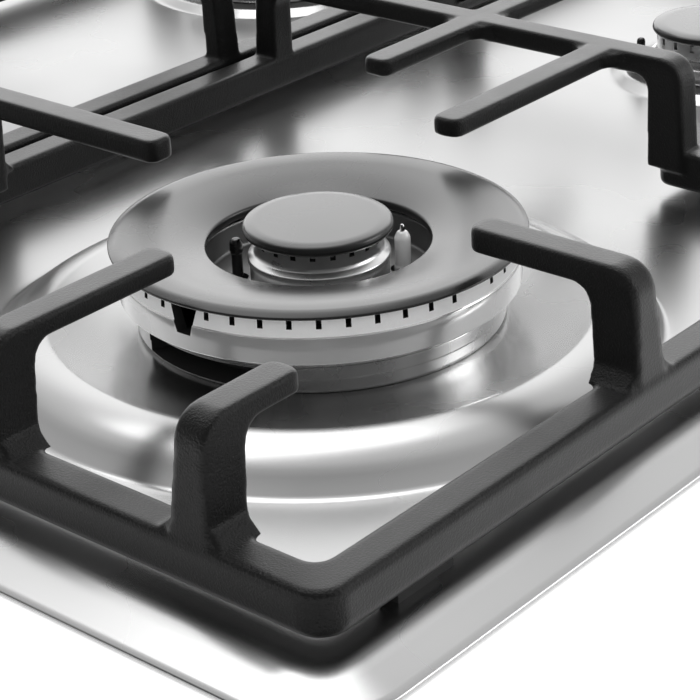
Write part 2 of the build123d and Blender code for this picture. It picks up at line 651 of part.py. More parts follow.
# ================================================================ sparks, sensors, injectors
with BuildPart() as spark_ceramics:
    with Locations((*WOK_PLUG, WOK_DECK_Z)):
        Cylinder(PLUG_R, TOP_Z + PLUG_UP - WOK_DECK_Z, align=(Align.CENTER, Align.CENTER, Align.MIN))
        Cylinder(PLUG_R - WIRE_R, 2 * WOK_DECK_H, align=(Align.CENTER, Align.CENTER, Align.MAX))
    with Locations([(x, y, SMALL_HEAD_Z) for x, y in plug_spots]):
        Cylinder(PLUG_R, SMALL_PLUG_H, align=(Align.CENTER, Align.CENTER, Align.MIN))
finish(spark_ceramics, "spark_ceramics")

with BuildPart() as spark_electrodes:
    with Locations((*WOK_PLUG, TOP_Z + PLUG_UP)):
        Cylinder(WIRE_R, 2.2, align=(Align.CENTER, Align.CENTER, Align.MIN))
    with Locations([(x, y, SMALL_HEAD_Z + SMALL_PLUG_H) for x, y in plug_spots]):
        Cylinder(WIRE_R, 1.4, align=(Align.CENTER, Align.CENTER, Align.MIN))
finish(spark_electrodes, "spark_electrodes")

with BuildPart() as thermocouples:
    with Locations((*WOK_SENSOR, WOK_DECK_Z)):
        Cylinder(SENSOR_R, TOP_Z + SENSOR_UP - WOK_DECK_Z, align=(Align.CENTER, Align.CENTER, Align.MIN))
        Cylinder(SENSOR_R - WIRE_R, 2 * WOK_DECK_H, align=(Align.CENTER, Align.CENTER, Align.MAX))
    with Locations([(x, y, SMALL_HEAD_Z) for x, y in sensor_spots]):
        Cylinder(SENSOR_R, SMALL_PLUG_H, align=(Align.CENTER, Align.CENTER, Align.MIN))
    fillet(thermocouples.edges().filter_by(GeomType.CIRCLE).sort_by(Axis.Z)[-1:], SENSOR_R * 0.7)
finish(thermocouples, "thermocouples")

WOK_CUP_FLOOR_Z = WOK_SEAT_Z - WOK_CUP_DEPTH + WOK_CUP_WALL
SMALL_CUP_FLOOR_Z = SMALL_SEAT_Z - SMALL_CUP_DEPTH + WOK_CUP_WALL
with BuildPart() as injectors:
    with Locations((WOK_X, WOK_Y, WOK_CUP_FLOOR_Z), (WOK_X, WOK_Y - WOK_PLUG_R, WOK_CUP_FLOOR_Z)):
        Cylinder(INJECTOR_R, INJECTOR_H, align=(Align.CENTER, Align.CENTER, Align.MIN))
    with Locations([(bx, by, SMALL_CUP_FLOOR_Z) for _, bx, by, _, _ in SMALL_BURNERS]):
        Cylinder(INJECTOR_R, INJECTOR_H, align=(Align.CENTER, Align.CENTER, Align.MIN))
finish(injectors, "injectors")


# ================================================================ pan supports
LEG_OUT = BAR_W / 2
LEG_FOOT_Z = BAR_Z + BAR_H / 2
LEG_TOE_Z = BAR_Z + BAR_H - BAR_EDGE / 2
LEG_TOP_Z = FINGER_Z - FINGER_T_FRONT - BEND_IN
LEG_OUT_TOP = LEG_OUT - LEG_OUT_IN


def leg_section(z, inset, width):
    """Sketch across a leg at a height, less an inset from its inner and outer faces."""
    share = (z - LEG_FOOT_Z) / (FINGER_Z - LEG_FOOT_Z)
    outer = LEG_OUT + (LEG_OUT_TOP - LEG_OUT) * share - inset
    inner = LEG_IN + (LEG_IN_TOP - LEG_IN) * share - inset
    with BuildSketch(Plane.XY.offset(z)) as cut:
        with Locations(((inner - outer) / 2, 0)):
            Rectangle(inner + outer, width)
    return cut.sketch


with BuildPart() as leg:
    add(leg_section(LEG_FOOT_Z, 0, LEG_FOOT_W))
    add(leg_section(LEG_TOP_Z, 0, FINGER_W))
    loft(ruled=True)

with BuildPart() as toe:
    add(leg_section(LEG_TOE_Z, BAR_EDGE / 2, TOE_W))
    add(leg_section(LEG_TOE_Z + TOE_H, BAR_EDGE / 2, LEG_FOOT_W))
    loft(ruled=True)


def arm(reach, thickness):
    """Leg on a low bar that bends into a finger along +X, from the bar's middle line to the tip."""
    with BuildPart() as piece:
        with BuildSketch(Plane.XZ):
            with BuildLine():
                FilletPolyline(
                    (-LEG_OUT, LEG_FOOT_Z), (-LEG_OUT_TOP, FINGER_Z), (reach, FINGER_Z),
                    (reach, FINGER_Z - thickness), (LEG_IN_TOP, FINGER_Z - thickness), (LEG_IN, LEG_FOOT_Z),
                    radius=[0, BEND_OUT, 0, 0, BEND_IN, 0], close=True)
            make_face()
        extrude(amount=FINGER_W / 2, both=True)
        tip = piece.edges().filter_by(Axis.Z).sort_by(Axis.X)[-2:]
        fillet(tip, FINGER_TIP)
        top = piece.faces().filter_by(Axis.Z).sort_by(Axis.Z)[-1]
        fillet(top.edges().filter_by(Axis.Y, reverse=True), FINGER_EDGE)
        add(leg.part)
        add(toe.part)
    return piece.part


def bridge(span, start_in, end_in):
    """Crossbar along +X with a leg at each end, between the middle lines of two low bars."""
    out_top = LEG_OUT - BRIDGE_OUT_IN
    with BuildPart() as piece:
        with BuildSketch(Plane.XZ):
            with BuildLine():
                FilletPolyline(
                    (-LEG_OUT, LEG_FOOT_Z), (-out_top, FINGER_Z), (span + out_top, FINGER_Z),
                    (span + LEG_OUT, LEG_FOOT_Z), (span - end_in, LEG_FOOT_Z),
                    (span - end_in - BRIDGE_LEAN, FINGER_Z - BRIDGE_T),
                    (start_in + BRIDGE_LEAN, FINGER_Z - BRIDGE_T), (start_in, LEG_FOOT_Z),
                    radius=[0, BEND_OUT, BEND_OUT, 0, 0, BEND_IN, BEND_IN, 0], close=True)
            make_face()
        extrude(amount=FINGER_W / 2, both=True)
        top = piece.faces().filter_by(Axis.Z).sort_by(Axis.Z)[-1]
        fillet(top.edges().filter_by(Axis.Y, reverse=True), FINGER_EDGE)
    return piece.part


def spur(length):
    """Finger along +X from a crossbar's middle line, webbed to the crossbar on both sides."""
    with BuildPart() as piece:
        with Locations((0, 0, FINGER_Z)):
            Box(length, FINGER_W, FINGER_T, align=(Align.MIN, Align.CENTER, Align.MAX))
        tip = piece.edges().filter_by(Axis.Z).sort_by(Axis.X)[-2:]
        fillet(tip, FINGER_TIP)
        top = piece.faces().filter_by(Axis.Z).sort_by(Axis.Z)[-1]
        fillet(top.edges().filter_by(Axis.Y, reverse=True), FINGER_EDGE)
        with BuildSketch(Plane.XY.offset(FINGER_Z - FINGER_EDGE)):
            with Locations((FINGER_W / 2, 0)):
                Rectangle(2 * WEB, FINGER_W + 2 * WEB)
            with Locations([(FINGER_W / 2 + WEB, side * (FINGER_W / 2 + WEB)) for side in (-1, 1)]):
                Circle(WEB, mode=Mode.SUBTRACT)
        extrude(amount=FINGER_EDGE - FINGER_T)
    return piece.part


def low_frame(corners):
    """Closed low bar of constant width along the corners, with rounded corners and edges."""
    with BuildSketch(Plane.XY.offset(BAR_Z)) as window:
        with BuildLine():
            Polyline(*corners, close=True)
        make_face()
        offset(amount=-BAR_W / 2, kind=Kind.INTERSECTION)
        fillet(window.vertices(), BAR_INNER_CORNER)
    with BuildPart() as piece:
        with BuildSketch(Plane.XY.offset(BAR_Z)) as ring:
            with BuildLine():
                Polyline(*corners, close=True)
            make_face()
            offset(amount=BAR_W / 2, kind=Kind.INTERSECTION)
            fillet(ring.vertices(), BAR_CORNER - BAR_W / 2)
            add(window.sketch, mode=Mode.SUBTRACT)
        extrude(amount=BAR_H)
        fillet(piece.edges().group_by(Axis.Z)[-1], BAR_EDGE)
        fillet(piece.edges().group_by(Axis.Z)[0], BAR_UNDER_EDGE)
    return piece.part


def placed(shape, x, y, angle=0):
    return shape.moved(Location((x, y, 0), (0, 0, angle)))


FRONT_CORNERS = (
    (LEFT_BAR_X, FRONT_BAR_Y), (STEP_BAR_X, FRONT_BAR_Y), (STEP_BAR_X, STEP_BAR_Y),
    (RIGHT_BAR_X, STEP_BAR_Y), (RIGHT_BAR_X, MID_BAR_Y), (LEFT_BAR_X, MID_BAR_Y),
)
REAR_CORNERS = (
    (LEFT_BAR_X, REAR_BAR_Y), (RIGHT_BAR_X, REAR_BAR_Y), (RIGHT_BAR_X, BACK_BAR_Y), (LEFT_BAR_X, BACK_BAR_Y),
)

with BuildPart() as front_grate:
    add(low_frame(FRONT_CORNERS))
finish(front_grate, "front_grate")

with BuildPart() as front_grate_arms:
    add(placed(arm(WOK_X - TIP_WOK - LEFT_BAR_X, FINGER_T), LEFT_BAR_X, WOK_Y + MAIN_FINGER_Y))
    add(placed(arm(WOK_X - SIDE_FINGER_TIP - LEFT_BAR_X, FINGER_T), LEFT_BAR_X, WOK_Y + SIDE_FINGER_Y))
    add(placed(arm(WOK_Y - TIP_WOK_FRONT - FRONT_BAR_Y, FINGER_T_FRONT), WOK_X + FRONT_FINGER_X, FRONT_BAR_Y, 90))
    add(placed(arm(MID_BAR_Y - WOK_Y - TIP_WOK_REAR, FINGER_T_FRONT), WOK_X + REAR_FINGER_X, MID_BAR_Y, -90))
    add(placed(bridge(MID_BAR_Y - STEP_BAR_Y, FRONT_BRIDGE_IN, MID_BRIDGE_IN), FRONT_BRIDGE, STEP_BAR_Y, 90))
    add(placed(spur(FRONT_BRIDGE - WOK_X - TIP_BRIDGE), FRONT_BRIDGE, WOK_Y + MAIN_FINGER_Y, 180))
    add(placed(spur(BRIDGE_FINGER_L), FRONT_BRIDGE, WOK_Y + BRIDGE_FINGER_Y, 180))
    add(placed(spur(BRIDGE_FINGER_L), FRONT_BRIDGE, WOK_Y + BRIDGE_FINGER_Y))
    aux_tip = AUX_CAP_R + TIP_CLEAR
    add(placed(arm(AUX_Y - aux_tip - STEP_BAR_Y, FINGER_T), AUX_X, STEP_BAR_Y, 90))
    add(placed(arm(RIGHT_BAR_X - AUX_X - aux_tip, FINGER_T), RIGHT_BAR_X, AUX_Y, 180))
    add(placed(arm(MID_BAR_Y - AUX_Y - aux_tip, FINGER_T), AUX_X, MID_BAR_Y, -90))
    add(front_grate.part, mode=Mode.SUBTRACT)
finish(front_grate_arms, "front_grate_arms")

with BuildPart() as rear_grate:
    add(low_frame(REAR_CORNERS))
    semi_tip = SEMI_CAP_R + TIP_CLEAR
    rapid_tip = RAPID_CAP_R + TIP_CLEAR
    add(placed(arm(WOK_X - semi_tip - LEFT_BAR_X, FINGER_T), LEFT_BAR_X, REAR_Y))
    add(placed(arm(REAR_Y - semi_tip - REAR_BAR_Y, FINGER_T), WOK_X, REAR_BAR_Y, 90))
    add(placed(arm(BACK_BAR_Y - REAR_Y - semi_tip, FINGER_T), WOK_X, BACK_BAR_Y, -90))
    add(placed(bridge(BACK_BAR_Y - REAR_BAR_Y, REAR_BRIDGE_IN, MID_BRIDGE_IN), REAR_BRIDGE, REAR_BAR_Y, 90))
    add(placed(spur(REAR_BRIDGE - WOK_X - semi_tip), REAR_BRIDGE, REAR_Y, 180))
    add(placed(spur(AUX_X - REAR_BRIDGE - rapid_tip), REAR_BRIDGE, REAR_Y))
    add(placed(arm(RIGHT_BAR_X - AUX_X - rapid_tip, FINGER_T), RIGHT_BAR_X, REAR_Y, 180))
    add(placed(arm(REAR_Y - rapid_tip - REAR_BAR_Y, FINGER_T), AUX_X, REAR_BAR_Y, 90))
    add(placed(arm(BACK_BAR_Y - REAR_Y - rapid_tip, FINGER_T), AUX_X, BACK_BAR_Y, -90))
finish(rear_grate, "rear_grate")

FRONT_FEET = (
    (LEFT_BAR_X + FOOT_INSET, FRONT_BAR_Y), (STEP_BAR_X - FOOT_INSET, FRONT_BAR_Y),
    (RIGHT_BAR_X - FOOT_INSET, STEP_BAR_Y), (LEFT_BAR_X + FOOT_INSET, MID_BAR_Y),
    (RIGHT_BAR_X - FOOT_INSET, MID_BAR_Y),
)
REAR_FEET = tuple((sx * (RIGHT_BAR_X - FOOT_INSET), y) for sx in (-1, 1) for y in (REAR_BAR_Y, BACK_BAR_Y))
with BuildPart() as front_grate_feet:
    with Locations([(x, y, TOP_Z) for x, y in FRONT_FEET]):
        Box(FOOT_L, FOOT_W, BAR_UP, align=(Align.CENTER, Align.CENTER, Align.MIN))
finish(front_grate_feet, "front_grate_feet")

with BuildPart() as rear_grate_feet:
    with Locations([(x, y, TOP_Z) for x, y in REAR_FEET]):
        Box(FOOT_L, FOOT_W, BAR_UP, align=(Align.CENTER, Align.CENTER, Align.MIN))
finish(rear_grate_feet, "rear_grate_feet")

# ================================================================ gas rail, taps, pipes
RAIL_TURN_X = KNOB_XS[-1] + TAP_FOOT_R + RAIL_BEND + SCREW_GAP
RAIL_RISE_Y = KNOB_Y + RAIL_RUN + RAIL_RISE_RUN
RAIL_PATH = (
    (KNOB_XS[0] - 2 * RAIL_R, KNOB_Y, RAIL_Z),
    (RAIL_TURN_X, KNOB_Y, RAIL_Z),
    (RAIL_TURN_X, KNOB_Y + RAIL_RUN, RAIL_Z),
    (INLET_X, RAIL_RISE_Y, RAIL_HIGH_Z),
    (INLET_X, INLET_Y - ELBOW_OUT, RAIL_HIGH_Z),
)


def pipe(points, radius, wall, bend):
    """Bent round tube along the points."""
    with BuildLine() as path:
        FilletPolyline(*points, radius=bend)
    start = Plane(origin=path.line @ 0, z_dir=path.line % 0)
    with BuildPart() as piece:
        with BuildSketch(start):
            Circle(radius)
            Circle(radius - wall, mode=Mode.SUBTRACT)
        sweep(path=path.line)
    return piece.part


with BuildPart() as gas_rail:
    add(pipe(RAIL_PATH, RAIL_R, RAIL_WALL, RAIL_BEND))
finish(gas_rail, "gas_rail")

with BuildPart() as gas_inlet:
    with Locations((INLET_X, INLET_Y, POCKET_H + SHEET)):
        Cylinder(ELBOW_R, ELBOW_H, align=(Align.CENTER, Align.CENTER, Align.MIN))
        Cylinder(NECK_R, NECK_L, align=(Align.CENTER, Align.CENTER, Align.MAX))
    with Locations(Location((INLET_X, INLET_Y, RAIL_HIGH_Z), (90, 0, 0))):
        Cylinder(RAIL_R + 1, ELBOW_OUT, align=(Align.CENTER, Align.CENTER, Align.MIN))
        Cylinder(RAIL_R - RAIL_WALL, ELBOW_OUT, align=(Align.CENTER, Align.CENTER, Align.MIN), mode=Mode.SUBTRACT)
    with Locations((INLET_X, INLET_Y, POCKET_H + SHEET - NECK_L)):
        Cylinder(INLET_R, INLET_L, align=(Align.CENTER, Align.CENTER, Align.MAX))
        Cylinder(INLET_BORE_R, 2 * (INLET_L + NECK_L), mode=Mode.SUBTRACT)
finish(gas_inlet, "gas_inlet")

CHAMBER_R = COLLAR_R + COLLAR_FIT
CHAMBER_TOP_Z = TAP_TOP_Z - TAP_LID
COLLAR_TOP_Z = CHAMBER_TOP_Z - COLLAR_REST_GAP
SPRING_BOTTOM_Z = COLLAR_TOP_Z - COLLAR_H - SPRING_L
SPINDLE_BOTTOM_Z = SPRING_BOTTOM_Z - 7
TAP_BORE_BOTTOM_Z = SPINDLE_BOTTOM_Z - PUSH - 0.5
TAP_PORT_Y = TAP_R + PORT_OUT

with BuildPart() as gas_taps:
    for x in KNOB_XS:
        add(turned(x, KNOB_Y, (
            (0, RAIL_Z), (TAP_FOOT_R, RAIL_Z), (TAP_FOOT_R, TAP_SEAT_Z), (TAP_R, TAP_SEAT_Z), (TAP_R, TAP_TOP_Z),
            (SPINDLE_R + SPINDLE_BORE_GAP, TAP_TOP_Z), (SPINDLE_R + SPINDLE_BORE_GAP, CHAMBER_TOP_Z),
            (CHAMBER_R, CHAMBER_TOP_Z), (CHAMBER_R, SPRING_BOTTOM_Z), (SPINDLE_R + SPINDLE_FIT, SPRING_BOTTOM_Z),
            (SPINDLE_R + SPINDLE_FIT, TAP_BORE_BOTTOM_Z), (0, TAP_BORE_BOTTOM_Z),
        )))
        with BuildSketch(Plane.XZ.offset(-KNOB_Y - TAP_R + 2)):
            with Locations((x, PORT_Z)):
                Circle(PORT_R)
        extrude(amount=-(PORT_OUT + 2))
    with Locations(Location((0, KNOB_Y, RAIL_Z), (0, 90, 0))):
        Cylinder(RAIL_R + SADDLE_GAP, 2 * HOB_W, mode=Mode.SUBTRACT)
finish(gas_taps, "gas_taps")

TAP_FACE_Y = KNOB_Y + TAP_PORT_Y
WOK_FACE_X = WOK_X + WOK_CUP_R + PORT_OUT
AUX_FACE_Y = AUX_Y - AUX_CAP_R + SMALL_CUP_IN - PORT_OUT
REAR_LEFT_FACE_X = WOK_X + SEMI_CAP_R - SMALL_CUP_IN + PORT_OUT
REAR_RIGHT_FACE_X = AUX_X + RAPID_CAP_R - SMALL_CUP_IN + PORT_OUT
RAPID_PIPE_X = KNOB_XS[3] - RAPID_PIPE_IN
PIPE_PATHS = (
    (
        (KNOB_XS[0], TAP_FACE_Y, PORT_Z),
        (KNOB_XS[0], TAP_FACE_Y + WOK_PIPE_OUT, PORT_Z),
        (WOK_FACE_X + WOK_PIPE_IN, WOK_Y, PORT_Z),
        (WOK_FACE_X, WOK_Y, PORT_Z),
    ),
    (
        (KNOB_XS[1], TAP_FACE_Y, PORT_Z),
        (KNOB_XS[1], TAP_FACE_Y + AUX_PIPE_OUT, PORT_Z),
        (AUX_X, AUX_FACE_Y - AUX_PIPE_IN, PORT_Z),
        (AUX_X, AUX_FACE_Y, PORT_Z),
    ),
    (
        (KNOB_XS[2], TAP_FACE_Y, PORT_Z),
        (KNOB_XS[2], AUX_Y + REAR_PIPE_PAST, PORT_Z),
        (REAR_PIPE_X, REAR_Y - REAR_PIPE_PAST, PORT_Z),
        (REAR_LEFT_FACE_X + REAR_PIPE_PAST, REAR_Y, PORT_Z),
        (REAR_LEFT_FACE_X, REAR_Y, PORT_Z),
    ),
    (
        (KNOB_XS[3], TAP_FACE_Y, PORT_Z),
        (KNOB_XS[3], TAP_FACE_Y + RAPID_PIPE_OUT, PORT_Z),
        (RAPID_PIPE_X, TAP_FACE_Y + RAPID_PIPE_OUT + RAPID_PIPE_RUN, PORT_Z),
        (RAPID_PIPE_X, REAR_Y, PORT_Z),
        (REAR_RIGHT_FACE_X, REAR_Y, PORT_Z),
    ),
)
with BuildPart() as burner_pipes:
    for path in PIPE_PATHS:
        add(pipe(path, PIPE_R, PIPE_WALL, PIPE_BEND))
finish(burner_pipes, "burner_pipes")

with BuildPart() as ignition_switches:
    with Locations([(x, KNOB_Y - TAP_R, PORT_Z) for x in KNOB_XS]):
        Box(SWITCH_W, SWITCH_D, SWITCH_H, align=(Align.CENTER, Align.MAX, Align.CENTER))
finish(ignition_switches, "ignition_switches")

with BuildPart() as ignition_box:
    with Locations((0, BOX_Y, SHEET)):
        Box(BOX_W, BOX_D, BOX_H, align=(Align.CENTER, Align.CENTER, Align.MIN))
    fillet(ignition_box.edges().filter_by(Axis.Z), 3)
finish(ignition_box, "ignition_box")

with BuildPart() as mains_gland:
    with Locations(Location((GLAND_X, TRAY_D / 2, BOX_H), (-90, 0, 0))):
        Cylinder(GLAND_R, 2 * GLAND_OUT)
        Cylinder(GLAND_NUT_R, GLAND_OUT, align=(Align.CENTER, Align.CENTER, Align.MIN))
        Cylinder(GLAND_BORE_R, 4 * GLAND_OUT, mode=Mode.SUBTRACT)
finish(mains_gland, "mains_gland")

# ================================================================ knobs
KNOB_Z = TOP_Z + KNOB_UP
KNOB_TOP_Z = KNOB_Z + KNOB_H
with BuildPart() as knob_bezels:
    with Locations([(x, KNOB_Y, TOP_Z) for x in KNOB_XS]):
        Cylinder(BEZEL_R, BEZEL_H, align=(Align.CENTER, Align.CENTER, Align.MIN))
    fillet(knob_bezels.edges().group_by(Axis.Z)[-1], BEZEL_H * 0.6)
    with Locations([(x, KNOB_Y, TOP_Z) for x in KNOB_XS]):
        Cylinder(BEZEL_BORE_R, 4 * BEZEL_H, mode=Mode.SUBTRACT)
finish(knob_bezels, "knob_bezels")

for n, x in enumerate(KNOB_XS, start=1):
    with BuildPart() as knob:
        add(turned(x, KNOB_Y, (
            (0, KNOB_Z), (KNOB_R - 0.6, KNOB_Z), (KNOB_R, KNOB_Z + 0.6), (KNOB_TOP_R, KNOB_TOP_Z), (0, KNOB_TOP_Z),
        )))
        with Locations([(x + side * (GRIP_W + KNOB_R) / 2, KNOB_Y, KNOB_TOP_Z) for side in (-1, 1)]):
            Box(KNOB_R, 2 * KNOB_R, 2 * GRIP_CUT, mode=Mode.SUBTRACT)
        fillet(knob.edges().group_by(Axis.Z)[-1], 1.5)
        with Locations((x, KNOB_Y + KNOB_TOP_R / 2, KNOB_TOP_Z)):
            Box(POINTER_W, KNOB_TOP_R, 2 * POINTER_DEPTH, mode=Mode.SUBTRACT)
        with Locations((x, KNOB_Y, KNOB_Z)):
            Cylinder(SPINDLE_R + SPINDLE_FIT, KNOB_SOCKET, align=(Align.CENTER, Align.CENTER, Align.MIN),
                     mode=Mode.SUBTRACT)
    finish(knob, "knob_" + str(n))

    with BuildPart() as spindle:
        with Locations((x, KNOB_Y, SPINDLE_BOTTOM_Z)):
            Cylinder(SPINDLE_R, KNOB_Z + KNOB_SOCKET - SPINDLE_BOTTOM_Z, align=(Align.CENTER, Align.CENTER, Align.MIN))
        with Locations((x, KNOB_Y + SPINDLE_R / 2, KNOB_Z)):
            Box(2 * SPINDLE_R, SPINDLE_R, 2 * KNOB_SOCKET, align=(Align.CENTER, Align.MIN, Align.MIN), mode=Mode.SUBTRACT)
    finish(spindle, "spindle_" + str(n))

    with BuildPart() as spring_collar:
        with Locations((x, KNOB_Y, COLLAR_TOP_Z)):
            Cylinder(COLLAR_R, COLLAR_H, align=(Align.CENTER, Align.CENTER, Align.MAX))
            Cylinder(SPINDLE_R + SPINDLE_FIT, 3 * COLLAR_H, mode=Mode.SUBTRACT)
    finish(spring_collar, "spring_collar_" + str(n))

    with BuildPart() as return_spring:
        with Locations((x, KNOB_Y, SPRING_BOTTOM_Z)):
            Cylinder(CHAMBER_R - SPRING_GAP, SPRING_L, align=(Align.CENTER, Align.CENTER, Align.MIN))
            Cylinder(SPINDLE_R + SPRING_GAP, 3 * SPRING_L, mode=Mode.SUBTRACT)
    finish(return_spring, "return_spring_" + str(n))
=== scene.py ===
from math import atan2, cos, hypot, pi, radians, sin, sqrt

import bmesh
import bpy
from mathutils import Matrix, Vector


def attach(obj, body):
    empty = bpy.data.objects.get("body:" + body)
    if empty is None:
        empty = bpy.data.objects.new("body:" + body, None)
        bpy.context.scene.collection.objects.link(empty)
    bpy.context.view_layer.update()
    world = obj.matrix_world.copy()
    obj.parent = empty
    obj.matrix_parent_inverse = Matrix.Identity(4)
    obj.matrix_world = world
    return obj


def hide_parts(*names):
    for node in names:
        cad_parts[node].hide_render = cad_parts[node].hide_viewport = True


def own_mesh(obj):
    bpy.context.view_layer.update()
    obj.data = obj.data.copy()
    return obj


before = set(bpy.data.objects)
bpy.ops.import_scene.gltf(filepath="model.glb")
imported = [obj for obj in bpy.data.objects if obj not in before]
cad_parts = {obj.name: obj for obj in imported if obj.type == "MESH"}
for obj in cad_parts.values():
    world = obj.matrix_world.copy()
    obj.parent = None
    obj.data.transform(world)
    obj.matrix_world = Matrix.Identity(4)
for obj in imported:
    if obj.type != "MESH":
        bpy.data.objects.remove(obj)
bpy.context.scene.view_settings.view_transform = "Standard"


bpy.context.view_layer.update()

# ================================================================ sizes, in millimetres from the tray's foot
MM = 0.001
TOP_Z = 48.0
SHEET = 0.8
HOB = (590.0, 510.0)
HOB_CORNER = 28.0
WORKTOP_Z = 42.0
WOK = (-137.0, -116.5)
PLUG_TURN = -39.0
SENSOR_TURN = 124.0
SMALL_PLUG_TURN = -50.0
SMALL_SENSOR_TURN = 130.0
SMALL_SEAT_Z = TOP_Z + 1.8
SMALL_HEAD_Z = SMALL_SEAT_Z + 6.5
KNOB_Y = -203.0
KNOB_XS = (72.0, 130.0, 188.0, 246.0)
KNOB_HOLE_R = 6.5
KNOB_HOLE_FLANGE_R = 7.5
KNOB_HOLE_STEPS = 48
# each small burner's name, centre and cap radius
SMALL = (
    ("rear_left", (-137.0, 150.0), 34.0),
    ("rear_right", (137.0, 150.0), 43.0),
    ("front_right", (137.0, -86.5), 24.5),
)


# ================================================================ mesh helpers
def new_object(name, mesh):
    piece = bpy.data.objects.new(name, mesh)
    bpy.context.scene.collection.objects.link(piece)
    return piece


def mesh_from(name, verts, faces, sharp=40.0):
    """Mesh object from millimetre corners, smooth but for edges sharper than the angle given."""
    mesh = bpy.data.meshes.new(name)
    mesh.from_pydata([(x * MM, y * MM, z * MM) for x, y, z in verts], [], faces)
    tidy(mesh)
    shade(mesh, sharp)
    return new_object(name, mesh)


def tidy(mesh, outward=True):
    work = bmesh.new()
    work.from_mesh(mesh)
    bmesh.ops.remove_doubles(work, verts=work.verts, dist=0.002 * MM)
    bmesh.ops.dissolve_degenerate(work, edges=work.edges, dist=0.001 * MM)
    if outward:
        bmesh.ops.recalc_face_normals(work, faces=work.faces)
    work.to_mesh(mesh)
    work.free()


def shade(mesh, sharp):
    mesh.shade_smooth()
    mesh.set_sharp_from_angle(angle=radians(sharp))


def baked(piece):
    """Plain mesh of the piece with its modifiers applied."""
    graph = bpy.context.evaluated_depsgraph_get()
    mesh = bpy.data.meshes.new_from_object(piece.evaluated_get(graph))
    piece.modifiers.clear()
    old = piece.data
    piece.data = mesh
    if old.users == 0:
        bpy.data.meshes.remove(old)
    return piece


def softened(outline, parts=4):
    """Rounds the corners of a closed outline of (radius, height) or (radius, height, fillet)."""
    points = []
    count = len(outline)
    for i, corner in enumerate(outline):
        here = Vector(corner[:2])
        fillet = corner[2] if len(corner) > 2 else 0.0
        if fillet <= 0.0:
            points.append(tuple(here))
            continue
        before = Vector(outline[i - 1][:2]) - here
        after = Vector(outline[(i + 1) % count][:2]) - here
        reach = min(fillet, 0.48 * before.length, 0.48 * after.length)
        start = here + before.normalized() * reach
        end = here + after.normalized() * reach
        for k in range(parts + 1):
            t = k / parts
            spot = start * (1 - t) ** 2 + here * (2 * t * (1 - t)) + end * t ** 2
            points.append(tuple(spot))
    return points


def turned(name, centre, outline, steps=192, sharp=40.0):
    """Closed solid turned about the upright axis through the centre."""
    cx, cy = centre
    area = sum(a[0] * b[1] - b[0] * a[1] for a, b in zip(outline, outline[1:] + outline[:1]))
    if area < 0:
        outline = outline[::-1]
    count = len(outline)
    verts = []
    for s in range(steps):
        turn = 2 * pi * s / steps
        verts += [(cx + r * cos(turn), cy + r * sin(turn), z) for r, z in outline]
    faces = []
    for s in range(steps):
        t = (s + 1) % steps
        for k in range(count):
            m = (k + 1) % count
            if outline[k][0] == 0 and outline[m][0] == 0:
                continue
            faces.append((s * count + k, t * count + k, t * count + m, s * count + m))
    return mesh_from(name, verts, faces, sharp)


def around(centre, radius, turn):
    return (centre[0] + radius * cos(radians(turn)), centre[1] + radius * sin(radians(turn)))


def joined(name, pieces):
    """One object from the separate solids of several."""
    work = bmesh.new()
    for piece in pieces:
        work.from_mesh(piece.data)
        bpy.data.objects.remove(piece)
    mesh = bpy.data.meshes.new(name)
    work.to_mesh(mesh)
    work.free()
    return new_object(name, mesh)


def rod(name, centre, radius, low, high, steps=48):
    return turned(name, centre, [(0.0, low), (radius, low), (radius, high), (0.0, high)], steps)


def laid_over(name, start, turn, outline, steps=64):
    """Turned solid whose axis lies level from the start point, along the turn in degrees."""
    piece = turned(name, (0.0, 0.0), outline, steps)
    level = Matrix.Rotation(radians(turn), 4, "Z") @ Matrix.Rotation(pi / 2, 4, "Y")
    piece.data.transform(Matrix.Translation(Vector(start) * MM) @ level)
    return piece


def zone(piece, index, inside):
    """Gives the faces whose middle, in millimetres, passes the test another of the piece's finishes."""
    for face in piece.data.polygons:
        if inside(face.center / MM):
            face.material_index = index


def arc_through(a, b, c, parts=8):
    """Points from a to c along the circle through a, b and c."""
    (ax, ay), (bx, by), (cx, cy) = a, b, c
    twice = 2 * (ax * (by - cy) + bx * (cy - ay) + cx * (ay - by))
    aa, bb, cc = ax * ax + ay * ay, bx * bx + by * by, cx * cx + cy * cy
    mx = (aa * (by - cy) + bb * (cy - ay) + cc * (ay - by)) / twice
    my = (aa * (cx - bx) + bb * (ax - cx) + cc * (bx - ax)) / twice
    first, last, reach = atan2(ay - my, ax - mx), atan2(cy - my, cx - mx), hypot(ax - mx, ay - my)
    turns = [first + (last - first) * k / parts for k in range(parts + 1)]
    return [(mx + reach * cos(t), my + reach * sin(t)) for t in turns]


def rounded_loop(half_x, half_y, corner, steps=20):
    loop = []
    for quarter, (sx, sy) in enumerate(((1, 1), (-1, 1), (-1, -1), (1, -1))):
        for k in range(steps + 1):
            turn = (quarter + k / steps) * pi / 2
            loop.append((sx * (half_x - corner) + corner * cos(turn),
                         sy * (half_y - corner) + corner * sin(turn)))
    return loop


def cut(piece, cutters):
    """Takes the cutters' volume from the piece."""
    tool = piece.modifiers.new("cut", "BOOLEAN")
    tool.operation = "DIFFERENCE"
    tool.solver = "EXACT"
    tool.object = cutters
    baked(piece)
    bpy.data.objects.remove(cutters)
    return piece


def bevelled(piece, width, segments=3, limit=30.0):
    edge = piece.modifiers.new("edges", "BEVEL")
    edge.width = width * MM
    edge.segments = segments
    edge.limit_method = "ANGLE"
    edge.angle_limit = radians(limit)
    edge.harden_normals = False
    return baked(piece)


